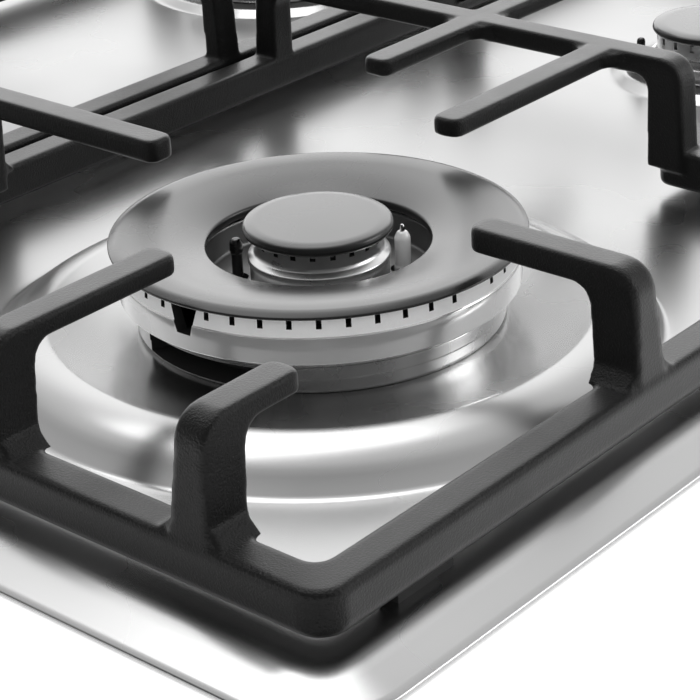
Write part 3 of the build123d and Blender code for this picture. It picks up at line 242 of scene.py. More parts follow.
# ================================================================ geometry node trees
def slot_ring_tree():
    """Radial boxes round a circle, for cutting flame slots."""
    tree = bpy.data.node_groups.new("slot_ring", "GeometryNodeTree")
    face = tree.interface
    for label, kind, value in (("Count", "NodeSocketInt", 20), ("Radius", "NodeSocketFloat", 0.05),
                               ("Width", "NodeSocketFloat", 0.002), ("Length", "NodeSocketFloat", 0.01),
                               ("Height", "NodeSocketFloat", 0.006), ("Phase", "NodeSocketFloat", 0.0),
                               ("Centre", "NodeSocketVector", (0, 0, 0))):
        socket = face.new_socket(name=label, in_out="INPUT", socket_type=kind)
        socket.default_value = value
    face.new_socket(name="Geometry", in_out="OUTPUT", socket_type="NodeSocketGeometry")
    n, link = tree.nodes, tree.links.new
    given = n.new("NodeGroupInput")
    circle = n.new("GeometryNodeMeshCircle")
    link(given.outputs["Count"], circle.inputs["Vertices"])
    link(given.outputs["Radius"], circle.inputs["Radius"])
    box = n.new("GeometryNodeMeshCube")
    size = n.new("ShaderNodeCombineXYZ")
    link(given.outputs["Length"], size.inputs["X"])
    link(given.outputs["Width"], size.inputs["Y"])
    link(given.outputs["Height"], size.inputs["Z"])
    link(size.outputs[0], box.inputs["Size"])
    place = n.new("GeometryNodeInputPosition")
    aim = n.new("FunctionNodeAlignRotationToVector")
    aim.axis = "X"
    aim.pivot_axis = "Z"
    link(place.outputs[0], aim.inputs["Vector"])
    copies = n.new("GeometryNodeInstanceOnPoints")
    link(circle.outputs["Mesh"], copies.inputs["Points"])
    link(box.outputs["Mesh"], copies.inputs["Instance"])
    link(aim.outputs["Rotation"], copies.inputs["Rotation"])
    real = n.new("GeometryNodeRealizeInstances")
    link(copies.outputs["Instances"], real.inputs["Geometry"])
    turn = n.new("ShaderNodeCombineXYZ")
    link(given.outputs["Phase"], turn.inputs["Z"])
    move = n.new("GeometryNodeTransform")
    link(real.outputs["Geometry"], move.inputs["Geometry"])
    link(given.outputs["Centre"], move.inputs["Translation"])
    link(turn.outputs[0], move.inputs["Rotation"])
    finish = n.new("GeometryNodeSetMaterial")
    link(move.outputs["Geometry"], finish.inputs["Geometry"])
    out = n.new("NodeGroupOutput")
    link(finish.outputs["Geometry"], out.inputs["Geometry"])
    return tree


SLOT_RING = slot_ring_tree()


def slot_ring(centre, z, count, radius, width, length, depth, phase=0.0, skip=()):
    """Cutter object: radial slots from the height z down to the depth, without those to skip."""
    holder = new_object("slot_cutter", bpy.data.meshes.new("slot_cutter"))
    grower = holder.modifiers.new("slots", "NODES")
    grower.node_group = SLOT_RING
    values = {"Count": count, "Radius": radius * MM, "Width": width * MM, "Length": length * MM,
              "Height": 2 * depth * MM, "Phase": radians(phase),
              "Centre": (centre[0] * MM, centre[1] * MM, z * MM)}
    for socket in SLOT_RING.interface.items_tree:
        if socket.in_out == "INPUT" and socket.name in values:
            grower[socket.identifier] = values[socket.name]
    baked(holder)
    if skip:
        work = bmesh.new()
        work.from_mesh(holder.data)
        work.verts.ensure_lookup_table()
        unwanted = []
        for vert in work.verts:
            turn = atan2(vert.co.y - centre[1] * MM, vert.co.x - centre[0] * MM)
            slot = round((turn - radians(phase)) / (2 * pi / count)) % count
            if slot in [s % count for s in skip]:
                unwanted.append(vert)
        bmesh.ops.delete(work, geom=unwanted, context="VERTS")
        work.to_mesh(holder.data)
        work.free()
    return holder


# ================================================================ shader node groups
def group(name, inputs, outputs):
    tree = bpy.data.node_groups.new(name, "ShaderNodeTree")
    for label, kind, value in inputs:
        socket = tree.interface.new_socket(name=label, in_out="INPUT", socket_type=kind)
        socket.default_value = value
    for label, kind in outputs:
        tree.interface.new_socket(name=label, in_out="OUTPUT", socket_type=kind)
    return tree, tree.nodes.new("NodeGroupInput"), tree.nodes.new("NodeGroupOutput")


def grain_group():
    """Fine cast or sprayed grain: a height and a patchy value, both about 0 to 1."""
    tree, given, out = group("fine_grain", (("Grains per metre", "NodeSocketFloat", 900.0),
                                            ("Patches per metre", "NodeSocketFloat", 60.0)),
                             (("Height", "NodeSocketFloat"), ("Patch", "NodeSocketFloat")))
    n, link = tree.nodes, tree.links.new
    place = n.new("ShaderNodeTexCoord")
    fine = n.new("ShaderNodeTexNoise")
    fine.inputs["Detail"].default_value = 3.0
    fine.inputs["Roughness"].default_value = 0.6
    pits = n.new("ShaderNodeTexVoronoi")
    pits.feature = "SMOOTH_F1"
    broad = n.new("ShaderNodeTexNoise")
    broad.inputs["Detail"].default_value = 4.0
    link(place.outputs["Object"], fine.inputs["Vector"])
    link(place.outputs["Object"], pits.inputs["Vector"])
    link(place.outputs["Object"], broad.inputs["Vector"])
    link(given.outputs["Grains per metre"], fine.inputs["Scale"])
    link(given.outputs["Grains per metre"], pits.inputs["Scale"])
    link(given.outputs["Patches per metre"], broad.inputs["Scale"])
    mix = n.new("ShaderNodeMath")
    mix.operation = "MULTIPLY_ADD"
    mix.inputs[1].default_value = 0.6
    link(pits.outputs["Distance"], mix.inputs[0])
    link(fine.outputs["Fac"], mix.inputs[2])
    link(mix.outputs[0], out.inputs["Height"])
    link(broad.outputs["Fac"], out.inputs["Patch"])
    return tree


def brushing_group():
    """Long fine scratches along one axis of the piece."""
    tree, given, out = group("brushing", (("Stretch", "NodeSocketVector", (12.0, 1400.0, 1400.0)),),
                             (("Height", "NodeSocketFloat"), ("Patch", "NodeSocketFloat")))
    n, link = tree.nodes, tree.links.new
    place = n.new("ShaderNodeTexCoord")
    scale = n.new("ShaderNodeVectorMath")
    scale.operation = "MULTIPLY"
    link(place.outputs["Object"], scale.inputs[0])
    link(given.outputs["Stretch"], scale.inputs[1])
    lines = n.new("ShaderNodeTexNoise")
    lines.inputs["Scale"].default_value = 1.0
    lines.inputs["Detail"].default_value = 3.0
    link(scale.outputs[0], lines.inputs["Vector"])
    broad = n.new("ShaderNodeTexNoise")
    broad.inputs["Scale"].default_value = 14.0
    broad.inputs["Detail"].default_value = 3.0
    link(place.outputs["Object"], broad.inputs["Vector"])
    link(lines.outputs["Fac"], out.inputs["Height"])
    link(broad.outputs["Fac"], out.inputs["Patch"])
    return tree


def lathe_group():
    """Turning marks: fine rings about the upright axis of a burner."""
    tree, given, out = group("lathe_rings", (("Centre", "NodeSocketVector", (0.0, 0.0, 0.0)),
                                             ("Rings per metre", "NodeSocketFloat", 1600.0)),
                             (("Height", "NodeSocketFloat"), ("Patch", "NodeSocketFloat")))
    n, link = tree.nodes, tree.links.new
    place = n.new("ShaderNodeTexCoord")
    apart = n.new("ShaderNodeVectorMath")
    apart.operation = "SUBTRACT"
    link(place.outputs["Object"], apart.inputs[0])
    link(given.outputs["Centre"], apart.inputs[1])
    split = n.new("ShaderNodeSeparateXYZ")
    link(apart.outputs[0], split.inputs[0])
    flat = n.new("ShaderNodeCombineXYZ")
    link(split.outputs["X"], flat.inputs["X"])
    link(split.outputs["Y"], flat.inputs["Y"])
    reach = n.new("ShaderNodeVectorMath")
    reach.operation = "LENGTH"
    link(flat.outputs[0], reach.inputs[0])
    pair = n.new("ShaderNodeCombineXYZ")
    link(reach.outputs["Value"], pair.inputs["X"])
    link(split.outputs["Z"], pair.inputs["Y"])
    rings = n.new("ShaderNodeTexNoise")
    rings.inputs["Detail"].default_value = 2.0
    link(pair.outputs[0], rings.inputs["Vector"])
    link(given.outputs["Rings per metre"], rings.inputs["Scale"])
    broad = n.new("ShaderNodeTexNoise")
    broad.inputs["Scale"].default_value = 70.0
    broad.inputs["Detail"].default_value = 3.0
    link(place.outputs["Object"], broad.inputs["Vector"])
    link(rings.outputs["Fac"], out.inputs["Height"])
    link(broad.outputs["Fac"], out.inputs["Patch"])
    return tree


def edge_group():
    """1 on raised edges, 0 on flats and in corners, broken up by a patchy value."""
    tree, given, out = group("edge_wear", (("Start", "NodeSocketFloat", 0.52),
                                           ("Full", "NodeSocketFloat", 0.6),
                                           ("Patch", "NodeSocketFloat", 0.5)),
                             (("Mask", "NodeSocketFloat"),))
    n, link = tree.nodes, tree.links.new
    shape = n.new("ShaderNodeNewGeometry")
    ramp = n.new("ShaderNodeMapRange")
    ramp.clamp = True
    link(shape.outputs["Pointiness"], ramp.inputs["Value"])
    link(given.outputs["Start"], ramp.inputs["From Min"])
    link(given.outputs["Full"], ramp.inputs["From Max"])
    broken = n.new("ShaderNodeMath")
    broken.operation = "MULTIPLY"
    link(ramp.outputs["Result"], broken.inputs[0])
    link(given.outputs["Patch"], broken.inputs[1])
    link(broken.outputs[0], out.inputs["Mask"])
    return tree


GRAIN = grain_group()
BRUSHING = brushing_group()
LATHE = lathe_group()
EDGES = edge_group()


def finish_of(name, colour, roughness, metallic=0.0, texture=None, settings=None, bump=0.1, depth=0.1,
              rough_range=0.1, shade_range=0.0, wear=0.0, wear_colour=(0.5, 0.5, 0.5), specular=0.5, coat=0.0,
              coat_roughness=0.1, graze=None):
    """Material: one shader with a patchy roughness, a relief and worn edges from the shared groups.

    With graze, the coat grows from none to full between those two values of how edge-on the surface is.
    """
    material = bpy.data.materials.new(name)
    material.use_nodes = True
    n, link = material.node_tree.nodes, material.node_tree.links.new
    shader = n["Principled BSDF"]
    shader.inputs["Base Color"].default_value = (*colour, 1)
    shader.inputs["Metallic"].default_value = metallic
    shader.inputs["Roughness"].default_value = roughness
    shader.inputs["Specular IOR Level"].default_value = specular
    shader.inputs["Coat Weight"].default_value = coat
    shader.inputs["Coat Roughness"].default_value = coat_roughness
    pattern = n.new("ShaderNodeGroup")
    pattern.node_tree = texture or GRAIN
    for label, value in (settings or {}).items():
        pattern.inputs[label].default_value = value
    dull = n.new("ShaderNodeMapRange")
    dull.inputs["From Min"].default_value = 0.3
    dull.inputs["From Max"].default_value = 0.7
    dull.inputs["To Min"].default_value = max(0.02, roughness - rough_range)
    dull.inputs["To Max"].default_value = min(1.0, roughness + rough_range)
    link(pattern.outputs["Patch"], dull.inputs["Value"])
    link(dull.outputs["Result"], shader.inputs["Roughness"])
    relief = n.new("ShaderNodeBump")
    relief.inputs["Strength"].default_value = bump
    relief.inputs["Distance"].default_value = depth * MM
    link(pattern.outputs["Height"], relief.inputs["Height"])
    link(relief.outputs["Normal"], shader.inputs["Normal"])
    tone = n.new("ShaderNodeMix")
    tone.data_type = "RGBA"
    tone.inputs["A"].default_value = (*[c * (1 - shade_range) for c in colour], 1)
    tone.inputs["B"].default_value = (*[min(1, c * (1 + shade_range)) for c in colour], 1)
    link(pattern.outputs["Patch"], tone.inputs["Factor"])
    last = tone.outputs["Result"]
    if wear > 0:
        worn = n.new("ShaderNodeGroup")
        worn.node_tree = EDGES
        link(pattern.outputs["Patch"], worn.inputs["Patch"])
        amount = n.new("ShaderNodeMath")
        amount.operation = "MULTIPLY"
        amount.inputs[1].default_value = wear
        link(worn.outputs["Mask"], amount.inputs[0])
        rubbed = n.new("ShaderNodeMix")
        rubbed.data_type = "RGBA"
        link(amount.outputs[0], rubbed.inputs["Factor"])
        link(last, rubbed.inputs["A"])
        rubbed.inputs["B"].default_value = (*wear_colour, 1)
        last = rubbed.outputs["Result"]
    link(last, shader.inputs["Base Color"])
    if graze:
        view = n.new("ShaderNodeLayerWeight")
        skim = n.new("ShaderNodeMapRange")
        skim.inputs["From Min"].default_value, skim.inputs["From Max"].default_value = graze
        skim.inputs["To Max"].default_value = coat
        link(view.outputs["Facing"], skim.inputs["Value"])
        link(skim.outputs["Result"], shader.inputs["Coat Weight"])
    return material


def metres(place):
    return (place[0] * MM, place[1] * MM, 0.0)


def grey(value):
    return (value, value, value)


steel_top = finish_of("brushed stainless", grey(0.47), 0.28, 1.0, BRUSHING,
                      {"Stretch": (10.0, 1500.0, 1500.0)}, bump=0.05, depth=0.05, rough_range=0.04,
                      shade_range=0.03)
steel_tray = finish_of("galvanised steel", grey(0.55), 0.45, 0.9, GRAIN,
                       {"Grains per metre": 300.0, "Patches per metre": 40.0}, bump=0.1, depth=0.1,
                       shade_range=0.15)
zinc = finish_of("zinc plated steel", grey(0.62), 0.35, 1.0, GRAIN, {"Grains per metre": 700.0},
                 shade_range=0.08)
iron = finish_of("enamelled cast iron", grey(0.006), 0.38, 0.0, GRAIN,
                 {"Grains per metre": 1700.0, "Patches per metre": 70.0}, bump=0.8, depth=0.26,
                 rough_range=0.06, shade_range=0.25, wear=0.15, wear_colour=grey(0.06), specular=0.2,
                 coat=0.8, coat_roughness=0.34, graze=(0.36, 0.56))
enamel = finish_of("satin black enamel", grey(0.01), 0.28, 0.0, GRAIN,
                   {"Grains per metre": 1600.0, "Patches per metre": 30.0}, bump=0.05, depth=0.05,
                   rough_range=0.03, shade_range=0.1, specular=0.45, coat=1.0, coat_roughness=0.24,
                   graze=(0.3, 0.55))
alloy_polished = finish_of("polished burner alloy", grey(0.95), 0.12, 0.72, LATHE,
                           {"Centre": metres(WOK), "Rings per metre": 1500.0}, bump=0.05, depth=0.05,
                           rough_range=0.03, shade_range=0.03)
alloy_cast = finish_of("turned burner alloy", grey(0.7), 0.28, 1.0, LATHE,
                       {"Centre": metres(WOK), "Rings per metre": 900.0}, bump=0.12, depth=0.06,
                       rough_range=0.08, shade_range=0.06)
alloy_band = finish_of("matt cast burner alloy", grey(0.95), 0.5, 0.15, GRAIN,
                       {"Grains per metre": 2200.0, "Patches per metre": 120.0}, bump=0.35, depth=0.1,
                       rough_range=0.1, shade_range=0.06)
alloy_satin = finish_of("satin burner alloy", grey(0.8), 0.3, 1.0, LATHE,
                        {"Centre": metres(WOK), "Rings per metre": 1200.0}, bump=0.1, depth=0.06,
                        rough_range=0.06, shade_range=0.05)
sensor_steel = finish_of("heat-darkened steel", grey(0.09), 0.25, 1.0, GRAIN, {"Grains per metre": 1500.0},
                         shade_range=0.3)
# painted shade: a darker grey alloy put on the deck, inner wall and floor inside the crown, where shade falls
alloy_mid_shade_paint = finish_of("alloy painted darker as shade", grey(0.2), 0.4, 0.9, GRAIN, {"Grains per metre": 900.0}, bump=0.2,
                       depth=0.08, shade_range=0.2)
# painted shade: a near-black alloy put on the burner's insides, the gap, channel and inner head, where the
# caps shade them
alloy_deep_shade_paint = finish_of("alloy painted near-black as deep shade", grey(0.03), 0.6, 0.3, GRAIN,
                        {"Grains per metre": 1200.0, "Patches per metre": 90.0}, bump=0.3, depth=0.1,
                        shade_range=0.3)
rubber = finish_of("foot rubber", grey(0.02), 0.75, 0.0, GRAIN, {"Grains per metre": 1500.0}, bump=0.3,
                   depth=0.1)
foam = finish_of("seal foam", grey(0.02), 0.9, 0.0, GRAIN, {"Grains per metre": 1200.0}, bump=0.8,
                 depth=0.4)
ceramic = finish_of("glazed ceramic", grey(0.82), 0.2, 0.0, GRAIN, {"Grains per metre": 400.0}, bump=0.03,
                    depth=0.05, rough_range=0.05, shade_range=0.03, coat=0.5)
wire = finish_of("bare steel wire", grey(0.5), 0.25, 1.0, GRAIN, {"Grains per metre": 2500.0},
                 shade_range=0.1)
brass = finish_of("machined brass", (0.72, 0.56, 0.32), 0.28, 1.0, GRAIN, {"Grains per metre": 1500.0},
                  shade_range=0.08)
tube = finish_of("drawn aluminium tube", grey(0.72), 0.3, 1.0, GRAIN, {"Grains per metre": 900.0},
                 shade_range=0.06)
plastic = finish_of("satin black plastic", grey(0.03), 0.38, 0.0, GRAIN, {"Grains per metre": 2200.0},
                    bump=0.15, depth=0.06, rough_range=0.05, shade_range=0.1, wear=0.1, wear_colour=grey(0.1))
bezel = finish_of("satin metal ring", grey(0.72), 0.22, 1.0, GRAIN, {"Grains per metre": 1500.0}, bump=0.05)
marking = finish_of("pale marking paint", grey(0.75), 0.5, 0.0, GRAIN, {"Grains per metre": 1500.0})


def paint(piece, material):
    zones = [face.material_index for face in piece.data.polygons]
    piece.data.materials.clear()
    piece.data.materials.append(material)
    piece.data.polygons.foreach_set("material_index", zones)


def add_piece(piece, material, body, slot, *nodes, more=()):
    paint(piece, material)
    for other in more:
        piece.data.materials.append(other)
    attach(piece, body)
    if nodes:
        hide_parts(*nodes)
    return piece


# ================================================================ camera
CAMERA_SPOT = Vector((-590.3, -528.5, 340.7)) * MM
LENS = 112.4
LOOK_TURN = radians(41.52)
LOOK_DOWN = radians(26.09)
LOOK_ROLL = radians(-2.64)


def aim_camera():
    ahead = Vector((cos(LOOK_TURN) * cos(LOOK_DOWN), sin(LOOK_TURN) * cos(LOOK_DOWN), -sin(LOOK_DOWN)))
    level = Vector((sin(LOOK_TURN), -cos(LOOK_TURN), 0))
    upward = level.cross(ahead)
    right = cos(LOOK_ROLL) * level + sin(LOOK_ROLL) * upward
    up = -sin(LOOK_ROLL) * level + cos(LOOK_ROLL) * upward
    lens = bpy.data.cameras.new("photo view")
    lens.lens = LENS
    lens.sensor_width = 36.0
    lens.clip_end = 20
    camera = bpy.data.objects.new("photo view", lens)
    bpy.context.scene.collection.objects.link(camera)
    camera.matrix_world = Matrix((
        (right.x, up.x, -ahead.x, CAMERA_SPOT.x),
        (right.y, up.y, -ahead.y, CAMERA_SPOT.y),
        (right.z, up.z, -ahead.z, CAMERA_SPOT.z),
        (0, 0, 0, 1)))
    bpy.context.scene.camera = camera


aim_camera()


# ================================================================ pressed top
# distance in from the edge, or radius, then rise over the panel and fillet
RIM_ROLL = softened([(19.8, 0.0), (15.0, 0.0, 2.0), (11.0, -0.75, 3.0), (1.6, -3.7, 1.6), (0.2, -4.6, 0.3),
                     (0.0, -5.2)], 6)
BOSS_WALL = arc_through((99.5, 5.0), (92.3, 9.3), (85.0, 11.0))
WOK_DISH = softened([(108.5, 0.0), (105.5, 0.0, 1.5), (*BOSS_WALL[0], 1.5), *BOSS_WALL[1:-1],
                     (*BOSS_WALL[-1], 0.9), (82.0, 10.28), (78.0, 9.42), (74.5, 8.72), (71.0, 8.1),
                     (67.0, 7.48), (65.0, 7.22), (63.0, 7.05, 0.8), (61.0, 7.0), (47.0, 7.0)])


def small_dish(cap):
    return softened([(cap + 20.0, 0.0), (cap + 17.0, 0.0, 2.0), (cap + 12.0, 3.4, 1.6), (cap + 8.0, 1.8, 1.8),
                     (cap + 5.0, 1.8), (cap - 3.0, 1.8)])


def ring_verts(work, loop, z):
    return [work.verts.new((x * MM, y * MM, z * MM)) for x, y in loop]


def ring_edges(work, ring):
    return [work.edges.new((ring[k], ring[(k + 1) % len(ring)])) for k in range(len(ring))]


def bridge_rings(work, outer, inner):
    count = len(outer)
    for k in range(count):
        m = (k + 1) % count
        work.faces.new((outer[k], outer[m], inner[m], inner[k]))


def circle(centre, radius, steps):
    return [(centre[0] + radius * cos(2 * pi * k / steps), centre[1] + radius * sin(2 * pi * k / steps))
            for k in range(steps)]


def pressed_top():
    work = bmesh.new()
    edges = []
    rim = None
    for inward, rise in RIM_ROLL:
        loop = rounded_loop(HOB[0] / 2 - inward, HOB[1] / 2 - inward, HOB_CORNER - inward)
        ring = ring_verts(work, loop, TOP_Z + rise)
        if rim is not None:
            bridge_rings(work, ring, rim)
        else:
            edges += ring_edges(work, ring)
        rim = ring
    bosses = [(WOK, WOK_DISH, 240)] + [(centre, small_dish(cap), 160) for _, centre, cap in SMALL]
    for centre, profile, steps in bosses:
        last = None
        for radius, rise in profile:
            ring = ring_verts(work, circle(centre, radius, steps), TOP_Z + rise)
            if last is None:
                edges += ring_edges(work, ring)
            else:
                bridge_rings(work, last, ring)
            last = ring
    for x in KNOB_XS:
        outer = ring_verts(work, circle((x, KNOB_Y), KNOB_HOLE_FLANGE_R, KNOB_HOLE_STEPS), TOP_Z)
        edges += ring_edges(work, outer)
        bridge_rings(work, outer, ring_verts(work, circle((x, KNOB_Y), KNOB_HOLE_R, KNOB_HOLE_STEPS), TOP_Z))
    bmesh.ops.triangle_fill(work, use_beauty=True, use_dissolve=False, edges=edges, normal=(0, 0, 1))
    bmesh.ops.recalc_face_normals(work, faces=work.faces)
    if sum(face.normal.z * face.calc_area() for face in work.faces) < 0:
        bmesh.ops.reverse_faces(work, faces=work.faces)
    mesh = bpy.data.meshes.new("pressed_top")
    work.to_mesh(mesh)
    work.free()
    piece = new_object("pressed_top", mesh)
    wall = piece.modifiers.new("sheet", "SOLIDIFY")
    wall.thickness = SHEET * MM
    wall.offset = -1
    baked(piece)
    shade(piece.data, 40)
    add_piece(piece, steel_top, "hob", "stainless_top", "hob_panel")


pressed_top()


SEAL_HALF = (277.5, 240.0)
SEAL_CORNER = 14.0
# distance out from the strip's inner edge, and height
SEAL_OUTLINE = ((0.0, WORKTOP_Z), (7.0, WORKTOP_Z), (7.0, 45.5), (3.0, 46.7), (0.0, 46.9))


def rim_seal():
    """Foam strip under the rim: its top follows the sloping edge of the pressed top."""
    verts, faces = [], []
    for grow, z in SEAL_OUTLINE:
        loop = rounded_loop(SEAL_HALF[0] + grow, SEAL_HALF[1] + grow, SEAL_CORNER + grow, 12)
        verts += [(x, y, z) for x, y in loop]
    count, turns = len(loop), len(SEAL_OUTLINE)
    for k in range(turns):
        for m in range(count):
            n = (m + 1) % count
            after = (k + 1) % turns * count
            faces.append((k * count + m, k * count + n, after + n, after + m))
    add_piece(mesh_from("rim_seal_strip", verts, faces), foam, "hob", "seal_foam", "rim_seal")


rim_seal()


# ================================================================ cast pan supports
def cast_piece(name, nodes, body, voxel, rounds, target):
    """The support's solids as one casting, with soft edges and run-in corners."""
    copies = [new_object(node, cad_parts[node].data.copy()) for node in nodes]
    piece = joined(name, copies)
    tidy(piece.data, outward=False)
    skin = piece.modifiers.new("skin", "REMESH")
    skin.mode = "VOXEL"
    skin.voxel_size = voxel * MM
    skin.use_smooth_shade = True
    soft = piece.modifiers.new("soft", "SMOOTH")
    soft.factor = 0.5
    soft.iterations = rounds
    baked(piece)
    triangles = 2 * len(piece.data.polygons)
    if triangles > target:
        thin = piece.modifiers.new("thin", "DECIMATE")
        thin.ratio = target / triangles
        baked(piece)
    piece.data.shade_smooth()
    add_piece(piece, iron, body, "cast_iron", *nodes)


cast_piece("front_support", ("front_grate", "front_grate_arms"), "front_support", 0.65, 16, 190000)
cast_piece("rear_support", ("rear_grate",), "rear_support", 0.8, 10, 150000)


# ================================================================ double-ring burner
DISH_Z = 55.0
CROWN_Z = 63.5
CAP_Z = 81.0
FLOOR_Z = 66.0
INNER_CAP_Z = 82.4
DECK_Z = 60.0
GAP_TURNS = (158.0, 202.0)
PLUG_SPOT = around(WOK, 26.0, PLUG_TURN)
SENSOR_SPOT = around(WOK, 25.6, SENSOR_TURN)


def from_wok(spot):
    """Distance of the place from the large burner's upright axis."""
    return hypot(spot.x - WOK[0], spot.y - WOK[1])


def gas_port(name, centre, reach, turn):
    """Nipple on a burner's cup where its gas pipe ends."""
    return laid_over(name, (*centre, 30.0), turn, softened((
        (0.0, reach - 10.5), (6.0, reach - 10.5), (6.0, reach + 4.2, 0.3), (5.3, reach + 4.8, 0.3),
        (5.3, reach + 5.6, 0.3), (6.0, reach + 6.2, 0.3), (6.0, reach + 8.0, 0.5), (0.0, reach + 8.0))))


def wok_base():
    cup = turned("wok_burner_cup", WOK, softened((
        (0.0, 22.0), (44.0, 22.0, 1.2), (44.0, DISH_Z, 0.4), (56.4, DISH_Z, 0.5), (57.0, DISH_Z + 1.2, 0.3),
        (57.0, DISH_Z + 4.4, 0.2), (57.3, DISH_Z + 4.8, 0.2), (57.3, CROWN_Z, 0.4), (41.5, CROWN_Z, 0.6),
        (41.5, DECK_Z, 0.8), (17.0, DECK_Z, 0.6), (17.0, DECK_Z - 3.0), (41.5, DECK_Z - 3.0),
        (41.5, 24.5, 1.5), (0.0, 24.5))), 240, 35)
    holes = [rod("hole", PLUG_SPOT, 2.2, DECK_Z - 6.0, DECK_Z + 4.0),
             rod("hole", SENSOR_SPOT, 1.5, DECK_Z - 6.0, DECK_Z + 4.0)]
    holes.append(sector("gap", 47.0, 60.0, GAP_TURNS[0], GAP_TURNS[1], DISH_Z + 1.1, CROWN_Z - 0.6))
    cut(cup, joined("holes", holes))
    shade(cup.data, 35)
    # painted shade: the cup's gap and its top under the crown are made near-black
    zone(cup, 1, lambda spot: from_wok(spot) < 56.9 and spot.z > DISH_Z + 1.0 and from_wok(spot) > 44.5)
    # painted shade: the deck inside the crown is made darker grey
    zone(cup, 2, lambda spot: from_wok(spot) < 41.6 and spot.z > DECK_Z - 1.0)
    piece = joined("wok_burner_base", [cup, gas_port("port", WOK, 44.0, 0.0)])
    add_piece(piece, alloy_cast, "hob", "burner_alloy", "wok_base", more=(alloy_deep_shade_paint, alloy_mid_shade_paint))


def sector(name, inner, outer, start, end, low, high, parts=24):
    """Piece of a thick ring about the large burner, from one turn in degrees to another."""
    verts, faces = [], []
    for k in range(parts + 1):
        turn = start + (end - start) * k / parts
        for distance, z in ((inner, low), (outer, low), (outer, high), (inner, high)):
            verts.append((*around(WOK, distance, turn), z))
    for k in range(parts):
        for m in range(4):
            n = (m + 1) % 4
            faces.append((4 * k + m, 4 * k + n, 4 * k + 4 + n, 4 * k + 4 + m))
    faces += [(3, 2, 1, 0), tuple(4 * parts + m for m in range(4))]
    return mesh_from(name, verts, faces)


def notch_cutter(turn, wide, narrow, deep):
    """Wedge for the flame-carry notch, with its wide side at the crown's top edge."""
    corners = ((-wide / 2, CAP_Z + 1.0), (wide / 2, CAP_Z + 1.0), (narrow / 2, CAP_Z - deep),
               (-narrow / 2, CAP_Z - deep))
    verts = []
    for reach in (55.6, 68.0):
        for side, z in corners:
            x, y = around(WOK, reach, turn)
            verts.append((x - side * sin(radians(turn)), y + side * cos(radians(turn)), z))
    faces = [(0, 1, 2, 3), (7, 6, 5, 4)] + [(k, k + 4, (k + 1) % 4 + 4, (k + 1) % 4) for k in range(4)]
    return mesh_from("notch", verts, faces)


def wok_crown():
    crown = turned("wok_burner_crown", WOK, softened((
        (17.0, CROWN_Z), (57.0, CROWN_Z, 0.4), (61.3, CROWN_Z + 2.8, 0.6), (61.8, CROWN_Z + 3.3, 0.25),
        (62.0, CROWN_Z + 11.5, 0.2), (61.6, CROWN_Z + 11.9, 0.12), (61.2, CAP_Z, 0.35), (58.0, CAP_Z, 0.3),
        (57.6, FLOOR_Z + 1.0, 1.0), (38.8, FLOOR_Z + 1.0, 1.0), (38.8, FLOOR_Z + 9.0, 0.8),
        (36.2, FLOOR_Z + 9.0, 0.8), (36.2, FLOOR_Z, 1.5), (17.0, FLOOR_Z, 0.4))), 368, 35)
    slots = slot_ring(WOK, CAP_Z, 46, 59.6, 1.6, 9.0, 3.3, 2.0, (-12, 0, 11, 23))
    notch = notch_cutter(2.0 - 180.0, 11.0, 5.0, 9.3)
    holes = [rod("hole", PLUG_SPOT, 4.0, CROWN_Z - 2.0, FLOOR_Z + 3.0),
             rod("hole", SENSOR_SPOT, 3.3, CROWN_Z - 2.0, FLOOR_Z + 3.0)]
    cut(crown, joined("slot_cutter", [slots, notch, *holes]))
    shade(crown.data, 35)
    zone(crown, 1, lambda spot: from_wok(spot) > 61.0 and spot.z > CROWN_Z + 11.8)
    # painted shade: the channel under the ring cap is made near-black
    zone(crown, 2, lambda spot: 38.9 < from_wok(spot) < 61.0 and spot.z > FLOOR_Z + 0.5)
    # painted shade: the crown's inner wall and floor are made darker grey
    zone(crown, 3, lambda spot: from_wok(spot) < 36.6)
    add_piece(crown, alloy_polished, "wok_crown", "burner_alloy", "wok_crown",
              more=(alloy_band, alloy_deep_shade_paint, alloy_mid_shade_paint))


wok_base()
wok_crown()

ring_cap = turned("wok_ring_cap_disc", WOK, softened((
    (62.5, CAP_Z, 0.3), (57.6, CAP_Z), (56.6, CAP_Z - 1.6), (37.4, 76.6, 0.5), (34.5, 76.4, 0.7),
    (34.4, 79.0, 1.0), (45.0, 81.7, 6.0), (56.0, 83.4, 7.0), (61.6, 83.5, 2.2), (64.0, 82.3, 1.2),
    (63.9, 81.6, 0.7)), 6), 256, 50)
add_piece(ring_cap, enamel, "wok_ring_cap", "cap_enamel", "wok_ring_cap")

inner_head = turned("wok_burner_inner_head", WOK, softened((
    (17.0, FLOOR_Z), (21.4, FLOOR_Z, 0.4), (21.4, FLOOR_Z + 6.0, 1.2), (22.0, FLOOR_Z + 7.6, 0.3),
    (22.0, FLOOR_Z + 9.0, 0.4), (19.8, FLOOR_Z + 10.3, 0.5), (19.4, FLOOR_Z + 11.2, 0.3),
    (19.4, INNER_CAP_Z, 0.3), (17.0, INNER_CAP_Z))), 200, 35)
cut(inner_head, slot_ring(WOK, INNER_CAP_Z, 20, 18.2, 1.7, 5.0, 2.6))
shade(inner_head.data, 35)
# painted shade: the inside of the inner head is made near-black
zone(inner_head, 1, lambda spot: from_wok(spot) < 19.25 and spot.z > FLOOR_Z + 0.1)
add_piece(inner_head, alloy_satin, "wok_inner_head", "burner_alloy", "wok_inner_head", more=(alloy_deep_shade_paint,))

inner_cap = turned("wok_inner_cap_disc", WOK, softened((
    (0.0, INNER_CAP_Z - 1.6), (16.6, INNER_CAP_Z - 1.6, 0.3), (16.6, INNER_CAP_Z), (22.4, INNER_CAP_Z, 0.8),
    (23.2, INNER_CAP_Z + 1.2, 1.2), (22.6, INNER_CAP_Z + 3.0, 1.4), (20.0, INNER_CAP_Z + 3.55, 2.5),
    (0.0, INNER_CAP_Z + 3.6)), 6), 192, 50)
add_piece(inner_cap, enamel, "wok_inner_cap", "cap_enamel", "wok_inner_cap")


